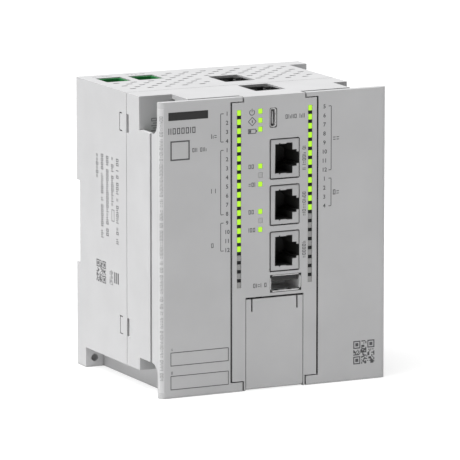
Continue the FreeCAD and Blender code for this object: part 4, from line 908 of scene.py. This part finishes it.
SIDE_MARKS = (
    (63.4, 84.0, 10.5, 2.3), (58.4, 59.0, 36.0, 2.3), (53.2, 60.5, 34.5, 2.3),
    (48.2, 74.0, 21.0, 2.3), (43.2, 58.5, 36.5, 2.3),
)
SIDE_BOX, SIDE_BOX_LINE = (45.2, 67.5, 47.8, 72.5), 0.25
SIDE_CODE = (53.8, 39.6, 9.4)
SIDE_BARS = ((41.0, 41.4, 42.1, 46.1), (43.0, 41.4, 44.1, 46.1), (44.9, 41.4, 45.6, 46.1))
SIDE_SMALL_MARKS = ((47.6, 40.2, 6.4, 0.8), (48.8, 40.2, 6.4, 0.8), (50.0, 40.2, 6.4, 0.8))
NOTCH_MARKS = (8.1, 109.2, 8.6, 2.6)
TOP_MARKS = ((5.4, 77.6, 9.0, 1.3), (20.6, 77.6, 9.0, 1.3))


def printed(name, body, draw, material="ink"):
    mesh = bmesh.new()
    draw(mesh)
    finish_piece(name, mesh, material, body)


def channel_numbers(mesh, u, numbers):
    for row, number in enumerate(numbers):
        digits(mesh, FRONT, str(number), u, LED_FIRST - row * LED_PITCH, NUMBER_HEIGHT)


def channel_groups(mesh, groups, spine, arm, mark_at, mark_drop, mark_size):
    """A bracket round each group of channels, given by its first and last, and marks beside it."""
    for first, last in groups:
        low, high = LED_FIRST - last * LED_PITCH, LED_FIRST - first * LED_PITCH
        bracket(mesh, FRONT, spine, arm, low, high)
        illegible(mesh, FRONT, mark_at, (low + high) / 2 - mark_drop, *mark_size)


def draw_left_door(mesh):
    channel_numbers(mesh, LEFT_NUMBERS_AT, LEFT_NUMBERS)
    channel_groups(mesh, **LEFT_GROUPS)
    for low, high in FIELD_HEIGHTS:
        outline_box(mesh, FRONT, FIELD_LEFT, low, FIELD_RIGHT, high)
        illegible(mesh, FRONT, CAPTION_LEFT, high + CAPTION_RISE, *CAPTION_MARK)
    illegible(mesh, FRONT, *MODEL_MARKS)
    outline_box(mesh, FRONT, *EMBLEM, EMBLEM_LINE)
    illegible(mesh, FRONT, *EMBLEM_MARKS)


def draw_badge(mesh):
    bar(mesh, FRONT, *BADGE)


def draw_edge_label(mesh):
    bar(mesh, DOOR_EDGE, *EDGE_LABEL, proud=EDGE_LABEL_PROUD)


def draw_edge_print(mesh):
    illegible(mesh, DOOR_EDGE, *EDGE_MARKS, upright=True)


def draw_right_door(mesh):
    channel_numbers(mesh, RIGHT_NUMBERS_AT, RIGHT_NUMBERS)
    channel_groups(mesh, **RIGHT_GROUPS)
    code_block(mesh, FRONT, *DOOR_CODE)


def draw_centre(mesh):
    arc(mesh, FRONT, *POWER_ARC)
    stroke(mesh, FRONT, *POWER_LINE)
    for start, end in zip(DIAMOND, DIAMOND[1:] + DIAMOND[:1]):
        stroke(mesh, FRONT, start, end)
    bar(mesh, FRONT, *DIAMOND_DOT)
    outline_box(mesh, FRONT, *BATTERY_CASE)
    bar(mesh, FRONT, *BATTERY_LEVEL)
    bar(mesh, FRONT, *BATTERY_TIP)
    for height in STATUS_LIT[SYMBOL_COUNT:]:
        illegible(mesh, FRONT, STATUS_MARKS_AT, height - STATUS_MARKS_DROP, *STATUS_MARKS)
    for line in USB_MARKS:
        illegible(mesh, FRONT, *line)
    for line in JACK_MARKS:
        illegible(mesh, FRONT, *line, upright=True)


def draw_left_side(mesh):
    for line in SIDE_MARKS:
        illegible(mesh, LEFT_SIDE, *line, upright=True)
    outline_box(mesh, LEFT_SIDE, *SIDE_BOX, SIDE_BOX_LINE)
    code_block(mesh, LEFT_SIDE, *SIDE_CODE)
    for box in SIDE_BARS:
        bar(mesh, LEFT_SIDE, *box)
    for line in SIDE_SMALL_MARKS:
        illegible(mesh, LEFT_SIDE, *line, upright=True)


def draw_notch_wall(mesh):
    illegible(mesh, NOTCH_WALL, *NOTCH_MARKS, upright=True)


def draw_top(mesh):
    for line in TOP_MARKS:
        illegible(mesh, TOP, *line)


def make_print():
    printed("left_door_print", "left_door", draw_left_door)
    printed("left_door_badge", "left_door", draw_badge, "black_ink")
    printed("left_door_edge_label", "left_door", draw_edge_label, "pale_label")
    printed("left_door_edge_print", "left_door", draw_edge_print, "faint_ink")
    printed("right_door_print", "right_door", draw_right_door)
    printed("centre_print", "controller", draw_centre)
    printed("left_side_print", "controller", draw_left_side)
    printed("notch_print", "controller", draw_notch_wall, "pale_ink")
    printed("top_print", "controller", draw_top, "pale_ink")


# ---------------------------------------------------------------- the whole scene

make_camera()
make_studio()
make_floor()
dress_cad_nodes()
channel_lenses()
status_lenses()
jack_inserts()
usb_seals()
usb_tongue_tip()
top_jack_bezels()
door_seal()
make_print()
